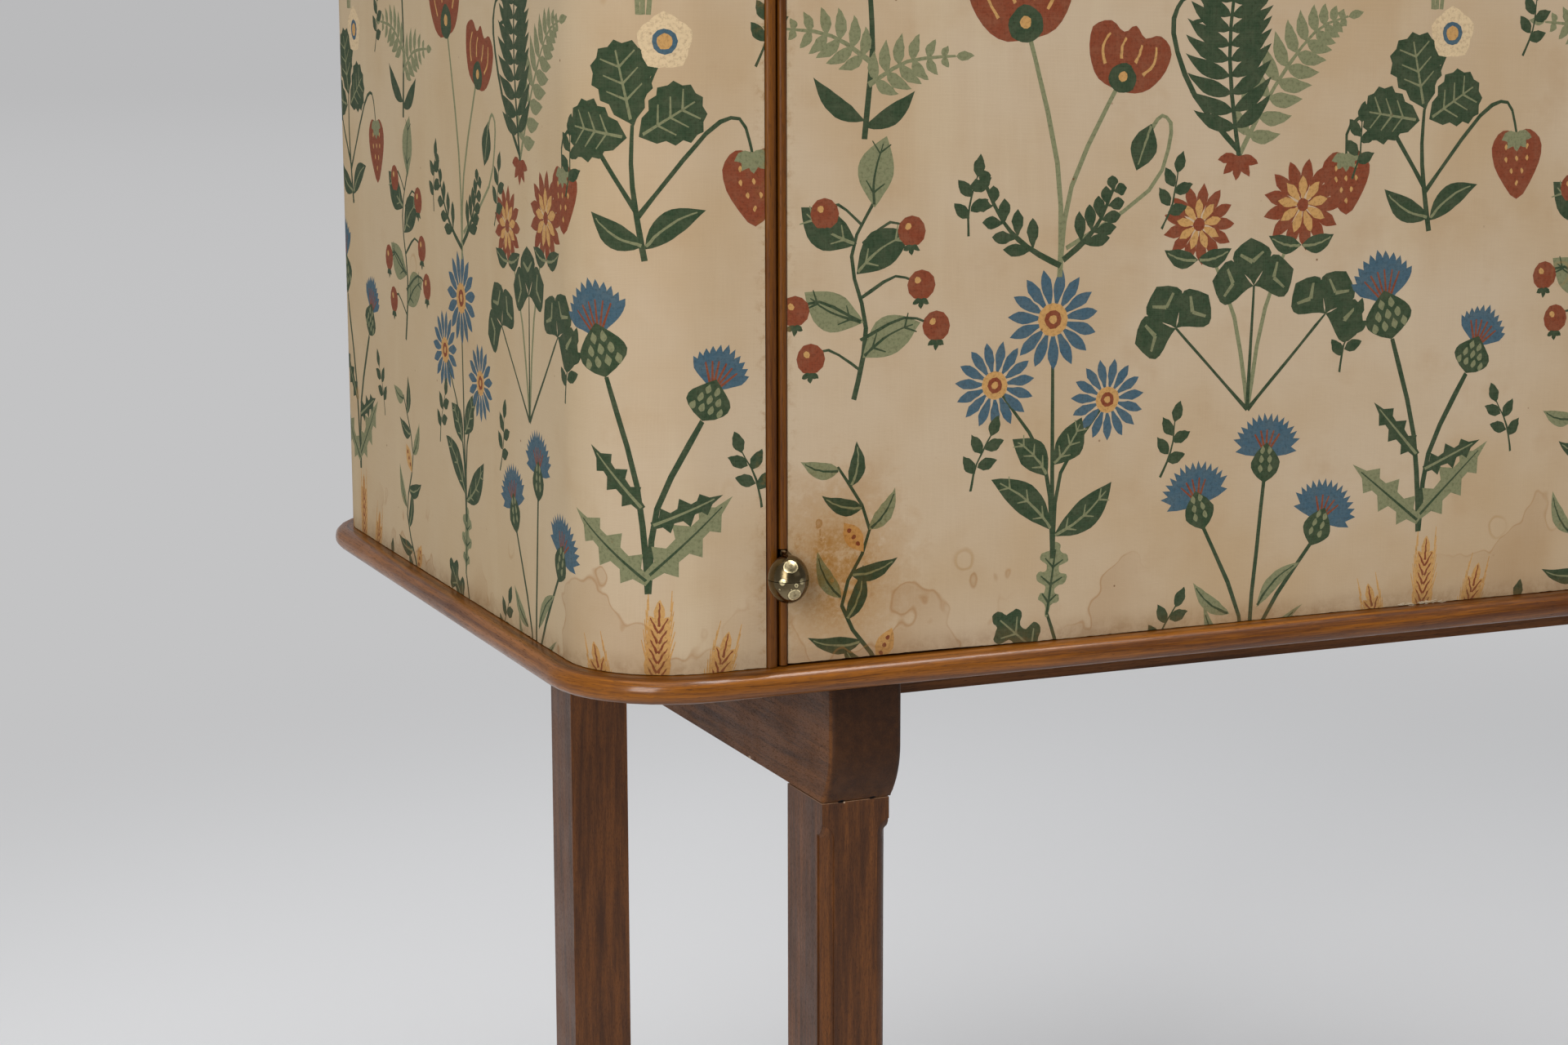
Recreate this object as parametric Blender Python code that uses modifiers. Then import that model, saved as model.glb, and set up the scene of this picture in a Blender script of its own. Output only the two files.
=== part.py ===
"""A two-door cabinet on a stand, in mahogany. Printed cloth is glued over its case and its doors.

Metres, +Z up, -Y to the front. The origin is on the floor, below the middle of the whole object.
u and v are distances into the body: u from its nearest side face, v from its front face.
"""

import math

import bmesh
import bpy
from mathutils import Matrix

MM = 0.001

# Clearances
FIT = 0.3 * MM  # between pieces that are glued, screwed or seated
RUN = 0.5 * MM  # round pieces that move, and behind the doors
OVERRUN = 2 * MM  # how far a cut passes the face that it opens
MERGE_SHARE = 0.01  # of the smallest clearance: points closer than this are one

# Body, over the cloth
BODY_WIDTH = 1140 * MM
BODY_DEPTH = 458 * MM
BODY_HEIGHT = 790 * MM
BODY_CORNER_RADIUS = 49.2 * MM
CLOTH = 0.7 * MM
WALL = 19 * MM
POST_ARM = 78 * MM  # length of the corner posts along the sides and the back
INNER_PANEL = 18 * MM
PARTITION_SETBACK = 52 * MM

# Base board and top board, with half-round edges
BOARD_THICKNESS = 11.8 * MM
BOARD_OVERHANG = 10.2 * MM

# Edge strips
STILE_COVER_WIDTH = 76.2 * MM  # cloth between the side face and the fixed strip
STILE_STRIP_WIDTH = 5.2 * MM
HINGE_STRIP_WIDTH = 3.6 * MM
MEETING_STRIP_WIDTH = 4 * MM
STRIP_PROUD = 1.2 * MM
STRIP_NOSE_SHARE = 0.7  # of its half width, how far a strip's nose is rounded back

# Doors
HINGE_GAP = 1 * MM
MEETING_GAP = 2.2 * MM
SILL_GAP = 1.5 * MM
STRIP_END_GAP = 0.5 * MM  # above and below the doors' strips

# Egg hinges
EGG_RADIUS = 9.1 * MM
EGG_HALF_HEIGHT = 10.8 * MM
EGG_CLEARANCE = 0.7 * MM  # between the egg and the strips behind it
HINGE_END_DISTANCE = 41.5 * MM  # from the boards to the middle of a hinge
PIN_RADIUS = 2.2 * MM
PIN_HEIGHT = 6.5 * MM
LEAF_THICKNESS = 1.6 * MM
LEAF_HEIGHT = 44 * MM
LEAF_DEPTH = 13 * MM
LEAF_SETBACK = 3 * MM  # from the body's front to the leaf
ARM_THICKNESS = 3 * MM
ARM_RISE = 0.35 * MM  # how far a door's arm stands above the egg
ARM_ROOT = 8 * MM  # height of the frame's arm below the seam
ARM_START_SHARE = 0.5  # of the egg's radius, from its axis to the arm
ARM_CROWN_SHARE = 0.92  # of the egg's half height, to the arm's front end

# Shelves
SHELF_THICKNESS = 16 * MM
SHELF_HEIGHT_SHARES = (0.36, 0.68)  # of the height inside
SHELF_HOUSING = 5 * MM  # how deep their ends sit in the walls and the partition

# Lock, on the right door
LOCK_HEIGHT_SHARE = 0.54  # of the body's height
LOCK_CASE_WIDTH = 48 * MM
LOCK_CASE_HEIGHT = 42 * MM
LOCK_CASE_DEPTH = 12 * MM
LOCK_CASE_WALL = 2 * MM
LOCK_FLANGE = 9 * MM  # above and below the case
LOCK_FLANGE_THICKNESS = 1.5 * MM
KEY_FROM_CASE_EDGE = 26 * MM
BOLT_LENGTH = 36 * MM
BOLT_HEIGHT = 12 * MM
BOLT_THICKNESS = 5 * MM
BOLT_ABOVE_KEY = 4 * MM
BOLT_THROW = 9 * MM
KEEPER_SPARE = 2 * MM  # pocket left over at full throw
KEEPER_WALL = 2 * MM
KEEPER_FLANGE = 9 * MM

# Key and escutcheon
KEY_REACH = 28 * MM  # in front of the body
KEY_SHANK_RADIUS = 1.9 * MM
KEY_BOW_HEIGHT = 15 * MM  # along the shank
KEY_BOW_WIDTH = 21 * MM
KEY_BOW_RIM = 3 * MM
KEY_BOW_THICKNESS = 2.4 * MM
KEY_BIT_DROP = 7.5 * MM
KEY_BIT_THICKNESS = 1.8 * MM
KEY_BIT_LENGTH = 2.4 * MM
ESCUTCHEON_RADIUS = 9 * MM
ESCUTCHEON_THICKNESS = 1.2 * MM

# Slide bolts, on the left door
SLIDE_FROM_EDGE = 30 * MM  # from the door's meeting edge to the rod
ROD_RADIUS = 2.6 * MM
ROD_LENGTH = 62 * MM
ROD_THROW = 11 * MM
SLIDE_CASE_HEIGHT = 40 * MM
SLIDE_CASE_BASE = 2.5 * MM  # wood side of the rod's channel
SLIDE_CASE_WALL = 1.6 * MM
SLIDE_FLANGE_WIDTH = 8 * MM
SLIDE_FLANGE_THICKNESS = 1.5 * MM
KNOB_NECK_RADIUS = 1.6 * MM
KNOB_RADIUS = 4 * MM
KNOB_LENGTH = 7 * MM

# Stand
LEG_WIDTH = 34 * MM
LEG_DEPTH = 40.7 * MM
LEG_LENGTH = 548 * MM
LEG_INSET = 116.3 * MM  # from the body's side
LEG_SETBACK = 30.5 * MM  # from the body's front and back
OVOLO_QUIRK = 0.8 * MM
OVOLO_RADIUS = 5.2 * MM
OVOLO_STOP = 17.6 * MM  # from the leg's top to where the moulding is whole
OVOLO_RUN_OUT = 1.5 * MM  # from the leg's face to the centre of the rounded end
BEARER_WIDTH = 36 * MM
BEARER_HEIGHT = 62.1 * MM
BEARER_NOSE = 10.2 * MM  # in front of the leg
BEARER_NOSE_ROUND = 27 * MM  # height of its rounded end
RAIL_HEIGHT = 20 * MM
RAIL_THICKNESS = 20 * MM
RAIL_SETBACK = 24 * MM  # from the leg's outer face
LEG_TENON_WIDTH = 18 * MM
LEG_TENON_DEPTH = 26 * MM
LEG_TENON_LENGTH = 30 * MM
RAIL_TENON_THICKNESS = 10 * MM
RAIL_TENON_HEIGHT = 14 * MM
RAIL_TENON_LENGTH = 14 * MM
SCREW_HEAD_RADIUS = 4 * MM
SCREW_HEAD_DEPTH = 2.6 * MM
SCREW_SHANK_RADIUS = 2 * MM
SCREW_LENGTH = 28 * MM
SCREW_SHARES = (-0.32, 0.32)  # of a rail's length, from its middle

# Facets
CORNER_STEPS = 9
NOSE_STEPS = 4
OVOLO_STEPS = 5
EGG_SIDES = 24
EGG_STEPS = 7
ROD_SIDES = 12
BOW_STEPS = 18

# Worked out from the sizes above
FRONT = -(BODY_DEPTH + KEY_REACH + BOARD_OVERHANG) / 2 + KEY_REACH
BACK = FRONT + BODY_DEPTH
COVER_INSET = CLOTH + FIT
INSIDE = COVER_INSET + WALL
PANEL_INSET = INSIDE + RUN
BEARER_Z = LEG_LENGTH + FIT
BOARD_Z = BEARER_Z + BEARER_HEIGHT + FIT
BODY_Z = BOARD_Z + BOARD_THICKNESS + FIT
BODY_TOP = BODY_Z + BODY_HEIGHT
TOP_BOARD_Z = BODY_TOP + FIT
FLOOR_Z = BODY_Z + INNER_PANEL
CEILING_Z = BODY_TOP - INNER_PANEL
DOOR_Z = BODY_Z + SILL_GAP
DOOR_TOP = BODY_TOP - SILL_GAP
STILE_EDGE = STILE_COVER_WIDTH + STILE_STRIP_WIDTH
AXIS_U = STILE_EDGE + HINGE_GAP / 2
AXIS_OUT = STRIP_PROUD + EGG_CLEARANCE + EGG_RADIUS
DOOR_EDGE = STILE_EDGE + HINGE_GAP
MEETING_U = (BODY_WIDTH - MEETING_GAP) / 2
HINGE_HEIGHTS = {"lower": BODY_Z + HINGE_END_DISTANCE, "upper": BODY_TOP - HINGE_END_DISTANCE}
LOCK_Z = BODY_Z + LOCK_HEIGHT_SHARE * BODY_HEIGHT
FITTINGS_V = INSIDE + FIT  # the face that the lock and the slide bolts sit on
LOCK_U = (MEETING_U - LOCK_CASE_WIDTH - FIT, MEETING_U - FIT)
KEY_U = LOCK_U[1] - KEY_FROM_CASE_EDGE
BOLT_BACK_V = FITTINGS_V + LOCK_CASE_DEPTH - LOCK_CASE_WALL - FIT
BOLT_V = (BOLT_BACK_V - BOLT_THICKNESS, BOLT_BACK_V)
BOLT_Z = (LOCK_Z + BOLT_ABOVE_KEY, LOCK_Z + BOLT_ABOVE_KEY + BOLT_HEIGHT)
SLIDE_U = MEETING_U - SLIDE_FROM_EDGE
ROD_V = FITTINGS_V + SLIDE_CASE_BASE + FIT + ROD_RADIUS
MERGE = FIT * MERGE_SHARE

WOOD, INNER_WOOD, COVERING = "mahogany", "inner_mahogany", "printed_cloth"
BRASS, STEEL = "brass", "steel"
SIDES = {"left": -1, "right": 1}
ENDS = {"front": -1, "back": 1}

# Local X, Y and Z of an outline turned this way are the world's Y, Z and X.
SIDEWAYS = (90, 0, 90)


def clear_scene():
    for obj in list(bpy.data.objects):
        bpy.data.objects.remove(obj, do_unlink=True)


def new_collection(name):
    made = bpy.data.collections.new(name)
    bpy.context.scene.collection.children.link(made)
    return made


def new_material(name, colour, roughness, metallic=0.0):
    made = bpy.data.materials.new(name)
    made.use_nodes = True
    made.diffuse_color = (*colour, 1)
    shader = made.node_tree.nodes["Principled BSDF"]
    shader.inputs["Base Color"].default_value = (*colour, 1)
    shader.inputs["Roughness"].default_value = roughness
    shader.inputs["Metallic"].default_value = metallic
    return made


clear_scene()
CABINET = new_collection("upholstered_cabinet")
CUTTERS = new_collection("cutters")
MATERIALS = {
    WOOD: new_material(WOOD, (0.27, 0.12, 0.05), 0.35),
    INNER_WOOD: new_material(INNER_WOOD, (0.36, 0.18, 0.09), 0.45),
    COVERING: new_material(COVERING, (0.66, 0.52, 0.36), 0.8),
    BRASS: new_material(BRASS, (0.55, 0.49, 0.34), 0.3, 1.0),
    STEEL: new_material(STEEL, (0.45, 0.43, 0.40), 0.35, 1.0),
}


# Meshes


def arc(centre, radius, start, end, steps):
    """Points on an arc, from one angle to the other in degrees."""
    angles = [math.radians(start + (end - start) * i / steps) for i in range(steps + 1)]
    return [(centre[0] + radius * math.cos(a), centre[1] + radius * math.sin(a)) for a in angles]


def rounded_rectangle(low, high, radii):
    """Radii of the front left, front right, back right and back left corners; 0 is a sharp one."""
    (x0, y0), (x1, y1) = low, high
    corners = ((x0, y0, 1, 1, 180), (x1, y0, -1, 1, 270), (x1, y1, -1, -1, 0), (x0, y1, 1, -1, 90))
    points = []
    for (x, y, inward_x, inward_y, start), radius in zip(corners, radii):
        centre = (x + inward_x * radius, y + inward_y * radius)
        points += arc(centre, radius, start, start + 90, CORNER_STEPS) if radius else [(x, y)]
    return points


def weld(mesh):
    work = bmesh.new()
    work.from_mesh(mesh)
    bmesh.ops.remove_doubles(work, verts=work.verts, dist=MERGE)
    bmesh.ops.recalc_face_normals(work, faces=work.faces)
    work.to_mesh(mesh)
    work.free()
    return mesh


def as_mesh(obj):
    """The evaluated mesh of a helper object, which is then removed."""
    bpy.context.scene.collection.objects.link(obj)
    graph = bpy.context.evaluated_depsgraph_get()
    mesh = bpy.data.meshes.new_from_object(obj.evaluated_get(graph), depsgraph=graph)
    bpy.data.objects.remove(obj, do_unlink=True)
    return weld(mesh)


def outline_mesh(outlines, thickness, rounding=0.0):
    """Flat outlines with thickness, centred on their plane. An outline inside another is a hole."""
    curve = bpy.data.curves.new("outline", "CURVE")
    curve.dimensions = "2D"
    curve.fill_mode = "BOTH"
    curve.extrude = thickness / 2 - rounding
    curve.bevel_depth = rounding
    curve.bevel_resolution = NOSE_STEPS if rounding else 0
    curve.offset = -rounding
    for outline in outlines:
        spline = curve.splines.new("POLY")
        spline.points.add(len(outline) - 1)
        for point, (x, y) in zip(spline.points, outline):
            point.co = (x, y, 0, 1)
        spline.use_cyclic_u = True
    return as_mesh(bpy.data.objects.new("outline", curve))


def turned_mesh(profile, sides):
    """A profile of (radius, height), from the top down its outer side, turned about Z."""
    mesh = bpy.data.meshes.new("profile")
    mesh.from_pydata([(r, 0, z) for r, z in profile], [(i, i + 1) for i in range(len(profile) - 1)], [])
    obj = bpy.data.objects.new("profile", mesh)
    screw = obj.modifiers.new("turn", "SCREW")
    screw.steps = screw.render_steps = sides
    screw.use_merge_vertices = True
    screw.merge_threshold = MERGE
    return as_mesh(obj)


def box_mesh(size):
    mesh = bpy.data.meshes.new("box")
    work = bmesh.new()
    bmesh.ops.create_cube(work, size=1)
    bmesh.ops.scale(work, vec=size, verts=work.verts)
    work.to_mesh(mesh)
    work.free()
    return mesh


def rod_mesh(radius, length, sides=ROD_SIDES):
    mesh = bpy.data.meshes.new("rod")
    work = bmesh.new()
    bmesh.ops.create_cone(
        work, cap_ends=True, segments=sides, radius1=radius, radius2=radius, depth=length
    )
    work.to_mesh(mesh)
    work.free()
    return mesh


def repeated_mesh(mesh, placements):
    """One mesh that holds a copy at each matrix."""
    work = bmesh.new()
    for matrix in placements:
        copy = mesh.copy()
        copy.transform(matrix)
        work.from_mesh(copy)
        bpy.data.meshes.remove(copy)
    made = bpy.data.meshes.new("group")
    work.to_mesh(made)
    work.free()
    return made


# Objects


def add(name, mesh, look, place=(0, 0, 0), turn=(0, 0, 0)):
    obj = bpy.data.objects.new(name, mesh)
    mesh.name = name
    mesh.materials.clear()
    mesh.materials.append(MATERIALS[look])
    obj.location = place
    obj.rotation_euler = [math.radians(angle) for angle in turn]
    CABINET.objects.link(obj)
    return obj


def helper(name, mesh, place=(0, 0, 0), turn=(0, 0, 0)):
    """A cutter, or a solid that a union takes in."""
    obj = bpy.data.objects.new(name, mesh)
    obj.location = place
    obj.rotation_euler = [math.radians(angle) for angle in turn]
    obj.hide_render = True
    obj.display_type = "WIRE"
    CUTTERS.objects.link(obj)
    return obj


def combine(obj, other, operation):
    modifier = obj.modifiers.new(f"{operation.lower()}_{other.name}", "BOOLEAN")
    modifier.operation = operation
    modifier.object = other


def cut(obj, *cutters):
    for cutter in cutters:
        combine(obj, cutter, "DIFFERENCE")


def join(obj, *others):
    for other in others:
        combine(obj, other, "UNION")


def middle(low, high):
    return [(a + b) / 2 for a, b in zip(low, high)]


def span(low, high):
    return [b - a for a, b in zip(low, high)]


def box(name, low, high, look):
    return add(name, box_mesh(span(low, high)), look, middle(low, high))


def box_helper(name, low, high):
    return helper(name, box_mesh(span(low, high)), middle(low, high))


def upright(name, outlines, low_z, high_z, look):
    """A plan outline, from one height to another."""
    return add(name, outline_mesh(outlines, high_z - low_z), look, (0, 0, (low_z + high_z) / 2))


def sideways(name, outline, low_x, high_x, look):
    """An outline of (y, z), from one x to another."""
    mesh = outline_mesh([outline], abs(high_x - low_x))
    return add(name, mesh, look, ((low_x + high_x) / 2, 0, 0), SIDEWAYS)


def x_at(side, u):
    return side * (BODY_WIDTH / 2 - u)


def x_span(side, u_a, u_b):
    return sorted((x_at(side, u_a), x_at(side, u_b)))


def plan(side, outline):
    """An outline of (u, v) on one side of the body, in world x and y."""
    return [(x_at(side, u), FRONT + v) for u, v in outline]


def box_uv(name, side, u, v, z, look):
    x = x_span(side, *u)
    return box(name, (x[0], FRONT + v[0], z[0]), (x[1], FRONT + v[1], z[1]), look)


def carry(pivot_name, place, objects):
    """Puts the objects on an empty that stands on their joint's axis."""
    pivot = bpy.data.objects.new(pivot_name, None)
    pivot.location = place
    CABINET.objects.link(pivot)
    for obj in objects:
        obj.parent = pivot
        obj.location = obj.location - pivot.location
    return pivot


# Stand


def ovolo_cutter(name, corner, inward_x, inward_y):
    """Cuts the stopped moulding on one corner of a leg. The cut ends as a round cutter leaves it."""
    reach = OVOLO_QUIRK + OVOLO_RADIUS
    outside = OVOLO_RUN_OUT - FIT
    bead = arc((reach, reach), OVOLO_RADIUS, 270, 180, OVOLO_STEPS)
    section = [(-outside, -outside), (reach, -outside), *bead, (-outside, reach)]
    stop = LEG_LENGTH - OVOLO_STOP
    work = bmesh.new()
    ring = [work.verts.new((inward_x * x, inward_y * y, -OVERRUN)) for x, y in section]
    face = work.faces.new(ring)
    walls = bmesh.ops.extrude_face_region(work, geom=[face])["geom"]
    raised = [item for item in walls if isinstance(item, bmesh.types.BMVert)]
    bmesh.ops.translate(work, vec=(0, 0, stop + OVERRUN), verts=raised)
    top = [item for item in walls if isinstance(item, bmesh.types.BMFace)]
    bmesh.ops.spin(
        work,
        geom=top,
        cent=(-inward_x * OVOLO_RUN_OUT, 0, stop),
        axis=(0, 1, 0),
        angle=-inward_x * math.pi / 2,
        steps=OVOLO_STEPS,
    )
    bmesh.ops.delete(work, geom=top, context="FACES_ONLY")
    bmesh.ops.recalc_face_normals(work, faces=work.faces)
    mesh = bpy.data.meshes.new(name)
    work.to_mesh(mesh)
    work.free()
    return helper(name, mesh, (*corner, 0))


def leg_place(side, end):
    """The lowest and highest x and y of a leg. end is -1 at the front and 1 at the back."""
    x = x_span(side, LEG_INSET, LEG_INSET + LEG_WIDTH)
    outer = FRONT + LEG_SETBACK if end < 0 else BACK - LEG_SETBACK
    return x, sorted((outer, outer - end * LEG_DEPTH))


def tenon(name, low, high):
    """A solid that a union adds to one piece, and the mortise cutter for the other."""
    grown_low = [a - FIT for a in low]
    grown_high = [a + FIT for a in high]
    return box_helper(f"{name}_tenon", low, high), box_helper(f"{name}_mortise", grown_low, grown_high)


def make_legs():
    """The legs, each with a tenon on its top. Returns the mortise cutters by side."""
    mortises = {side_name: [] for side_name in SIDES}
    for end_name, end in ENDS.items():
        for side_name, side in SIDES.items():
            (x0, x1), (y0, y1) = leg_place(side, end)
            leg = box(f"{end_name}_{side_name}_leg", (x0, y0, 0), (x1, y1, LEG_LENGTH), WOOD)
            outer_y = y0 if end < 0 else y1
            for corner, x, inward in (("left", x0, 1), ("right", x1, -1)):
                cut(leg, ovolo_cutter(f"{leg.name}_{corner}_ovolo", (x, outer_y), inward, -end))
            x, y = (x0 + x1) / 2, (y0 + y1) / 2
            stub, mortise = tenon(
                leg.name,
                (x - LEG_TENON_WIDTH / 2, y - LEG_TENON_DEPTH / 2, LEG_LENGTH - OVERRUN),
                (x + LEG_TENON_WIDTH / 2, y + LEG_TENON_DEPTH / 2, LEG_LENGTH + LEG_TENON_LENGTH),
            )
            join(leg, stub)
            mortises[side_name].append(mortise)
    return mortises


def make_rails(mortises):
    """The two rails under the base board, with a tenon on each end. Returns them."""
    top = BOARD_Z - FIT
    bottom = top - RAIL_HEIGHT
    half = BODY_WIDTH / 2 - LEG_INSET - BEARER_WIDTH - FIT
    rails = []
    for end_name, end in ENDS.items():
        outer = FRONT + LEG_SETBACK + RAIL_SETBACK if end < 0 else BACK - LEG_SETBACK - RAIL_SETBACK
        y = outer - end * RAIL_THICKNESS / 2
        low, high = (-half, y - RAIL_THICKNESS / 2, bottom), (half, y + RAIL_THICKNESS / 2, top)
        rail = box(f"{end_name}_rail", low, high, WOOD)
        z = (top + bottom) / 2
        for side_name, side in SIDES.items():
            x = sorted((side * (half - OVERRUN), side * (half + RAIL_TENON_LENGTH)))
            stub, mortise = tenon(
                f"{side_name}_{rail.name}",
                (x[0], y - RAIL_TENON_THICKNESS / 2, z - RAIL_TENON_HEIGHT / 2),
                (x[1], y + RAIL_TENON_THICKNESS / 2, z + RAIL_TENON_HEIGHT / 2),
            )
            join(rail, stub)
            mortises[side_name].append(mortise)
        rails.append(rail)
    return rails


def bearer_outline():
    """A bearer from the side, as (y, z). Its lower end corners are rounded back to the legs."""
    run, rise = BEARER_NOSE, BEARER_NOSE_ROUND
    radius = (run**2 + rise**2) / (2 * run)
    sweep = math.degrees(math.asin(rise / radius))
    front = FRONT + LEG_SETBACK - run
    back = BACK - LEG_SETBACK + run
    bottom = BEARER_Z
    top = BEARER_Z + BEARER_HEIGHT
    nose = arc((front + radius, bottom + rise), radius, 180, 180 + sweep, NOSE_STEPS * 2)
    tail = arc((back - radius, bottom + rise), radius, -sweep, 0, NOSE_STEPS * 2)
    return [(front, top), *nose, *tail, (back, top)]


def screw_mesh(clearance=0.0):
    """A countersunk wood screw that points down from z = 0, or with a clearance its hole."""
    head, shank = SCREW_HEAD_RADIUS + clearance, SCREW_SHANK_RADIUS + clearance
    over = OVERRUN if clearance else 0
    tip = -SCREW_LENGTH - clearance
    profile = [(0, over), (head, over)] + ([(head, 0)] if clearance else [])
    profile += [(shank, -SCREW_HEAD_DEPTH - clearance), (shank, tip + shank), (0, tip)]
    return turned_mesh(profile, ROD_SIDES)


def make_base_screws(rails):
    """Four screws, up through the rails into the base board. Returns their hole cutters."""
    half = BODY_WIDTH / 2 - LEG_INSET - BEARER_WIDTH - FIT
    screw, hole = screw_mesh(), screw_mesh(FIT)
    cutters = []
    for rail in rails:
        end_name = rail.name.split("_")[0]
        z = rail.location.z - RAIL_HEIGHT / 2
        for side_name, share in zip(SIDES, SCREW_SHARES):
            place = (share * 2 * half, rail.location.y, z)
            name = f"{end_name}_{side_name}_base_screw"
            add(name, screw.copy(), STEEL, place, (180, 0, 0))
            cutters.append(helper(f"{name}_hole", hole.copy(), place, (180, 0, 0)))
            cut(rail, cutters[-1])
    return cutters


def make_stand():
    mortises = make_legs()
    rails = make_rails(mortises)
    for side_name, side in SIDES.items():
        x = x_span(side, LEG_INSET, LEG_INSET + BEARER_WIDTH)
        cut(sideways(f"{side_name}_bearer", bearer_outline(), *x, WOOD), *mortises[side_name])
    return make_base_screws(rails)


# Case


def board_outline():
    m = BOARD_OVERHANG
    radii = (BODY_CORNER_RADIUS + m,) * 4
    return rounded_rectangle((-BODY_WIDTH / 2 - m, FRONT - m), (BODY_WIDTH / 2 + m, BACK + m), radii)


def make_boards(screw_holes):
    for name, z in (("base_board", BOARD_Z), ("top_board", TOP_BOARD_Z)):
        mesh = outline_mesh([board_outline()], BOARD_THICKNESS, BOARD_THICKNESS / 2)
        board = add(name, mesh, WOOD, (0, 0, z + BOARD_THICKNESS / 2))
        if name == "base_board":
            cut(board, *screw_holes)


def post_outline(front_arm):
    """A corner post in plan, as (u, v): an L of the wall's thickness with a rounded corner."""
    c = BODY_CORNER_RADIUS
    outside = arc((c, c), c - COVER_INSET, 270, 180, CORNER_STEPS)
    inside = arc((c, c), c - INSIDE, 180, 270, CORNER_STEPS)
    outer_ends = [(COVER_INSET, POST_ARM), (INSIDE, POST_ARM)]
    return [(front_arm, COVER_INSET), *outside, *outer_ends, *inside, (front_arm, INSIDE)]


def make_case():
    """The posts, panels and partition. Returns by side those that the shelves are housed in."""
    z = (BODY_Z, BODY_TOP)
    wall = (COVER_INSET, INSIDE)
    housed = {}
    for side_name, side in SIDES.items():
        front = post_outline(STILE_COVER_WIDTH - FIT)
        back = [(u, BODY_DEPTH - v) for u, v in post_outline(POST_ARM)]
        along = (POST_ARM + FIT, BODY_DEPTH - POST_ARM - FIT)
        housed[side_name] = [
            upright(f"front_{side_name}_post", [plan(side, front)], *z, INNER_WOOD),
            upright(f"back_{side_name}_post", [plan(side, back)], *z, INNER_WOOD),
            box_uv(f"{side_name}_side_panel", side, wall, along, z, INNER_WOOD),
        ]
    half = BODY_WIDTH / 2 - POST_ARM - FIT
    back_y = (BACK - INSIDE, BACK - COVER_INSET)
    box("back_panel", (-half, back_y[0], z[0]), (half, back_y[1], z[1]), INNER_WOOD)
    half = INNER_PANEL / 2
    y = (FRONT + PARTITION_SETBACK, BACK - PANEL_INSET)
    low, high = (-half, y[0], FLOOR_Z + FIT), (half, y[1], CEILING_Z - FIT)
    partition = box("centre_partition", low, high, INNER_WOOD)
    for pieces in housed.values():
        pieces.append(partition)
    return housed


def make_inner_panels(rod_holes):
    """The case's floor and ceiling. Their front edges stop the doors."""
    inset = PANEL_INSET
    radii = (BODY_CORNER_RADIUS - inset,) * 4
    low, high = (-BODY_WIDTH / 2 + inset, FRONT + inset), (BODY_WIDTH / 2 - inset, BACK - inset)
    outline = rounded_rectangle(low, high, radii)
    for name, z in (("bottom_panel", (BODY_Z, FLOOR_Z)), ("top_panel", (CEILING_Z, BODY_TOP))):
        cut(upright(name, [outline], *z, INNER_WOOD), rod_holes)


def shelf_outline(clearance=0.0):
    """A shelf in plan, as (u, v), with its ends in their housings, or with a clearance its cutter."""
    low_u = INSIDE - SHELF_HOUSING - clearance
    high_u = BODY_WIDTH / 2 - INNER_PANEL / 2 + SHELF_HOUSING + clearance
    low_v = PARTITION_SETBACK + RUN - clearance
    high_v = BODY_DEPTH - PANEL_INSET + clearance
    radius = BODY_CORNER_RADIUS - INSIDE + SHELF_HOUSING
    return rounded_rectangle((low_u, low_v), (high_u, high_v), (0, 0, 0, radius))


def make_shelves(housed):
    """Two fixed shelves in each bay."""
    for side_name, side in SIDES.items():
        for level, share in zip(("lower", "upper"), SHELF_HEIGHT_SHARES):
            z = FLOOR_Z + share * (CEILING_Z - FLOOR_Z)
            name = f"{side_name}_{level}_shelf"
            outline = plan(side, shelf_outline())
            upright(name, [outline], z, z + SHELF_THICKNESS, INNER_WOOD)
            mesh = outline_mesh([plan(side, shelf_outline(FIT))], SHELF_THICKNESS + 2 * FIT)
            cutter = helper(f"{name}_housing", mesh, (0, 0, z + SHELF_THICKNESS / 2))
            for piece in housed[side_name]:
                cut(piece, cutter)


# Cloth


def side_cover_outline():
    """The cloth from the fixed strip round the side to the back, in plan, as (u, v)."""
    c, d = BODY_CORNER_RADIUS, BODY_DEPTH
    outside = arc((c, c), c, 270, 180, CORNER_STEPS) + arc((c, d - c), c, 180, 90, CORNER_STEPS)
    inside = arc((c, d - c), c - CLOTH, 90, 180, CORNER_STEPS)
    inside += arc((c, c), c - CLOTH, 180, 270, CORNER_STEPS)
    front, back = STILE_COVER_WIDTH - FIT, POST_ARM
    return [(front, 0), *outside, (back, d), (back, d - CLOTH), *inside, (front, CLOTH)]


def make_covers():
    z = (BODY_Z, BODY_TOP)
    for side_name, side in SIDES.items():
        upright(f"{side_name}_side_cover", [plan(side, side_cover_outline())], *z, COVERING)
    half = BODY_WIDTH / 2 - POST_ARM - FIT
    box("back_cover", (-half, BACK - CLOTH, z[0]), (half, BACK, z[1]), COVERING)


# Edge strips


def strip(name, side, u, z):
    """A lipping as deep as the wall, with a half-round nose in front of the cloth."""
    radius = (u[1] - u[0]) / 2
    nose = arc((u[0] + radius, radius), radius, 180, 360, NOSE_STEPS * 2)
    outline = [(a, b * STRIP_NOSE_SHARE - STRIP_PROUD) for a, b in nose]
    return upright(name, [plan(side, [*outline, (u[1], INSIDE), (u[0], INSIDE)])], *z, WOOD)


# Hinges


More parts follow.
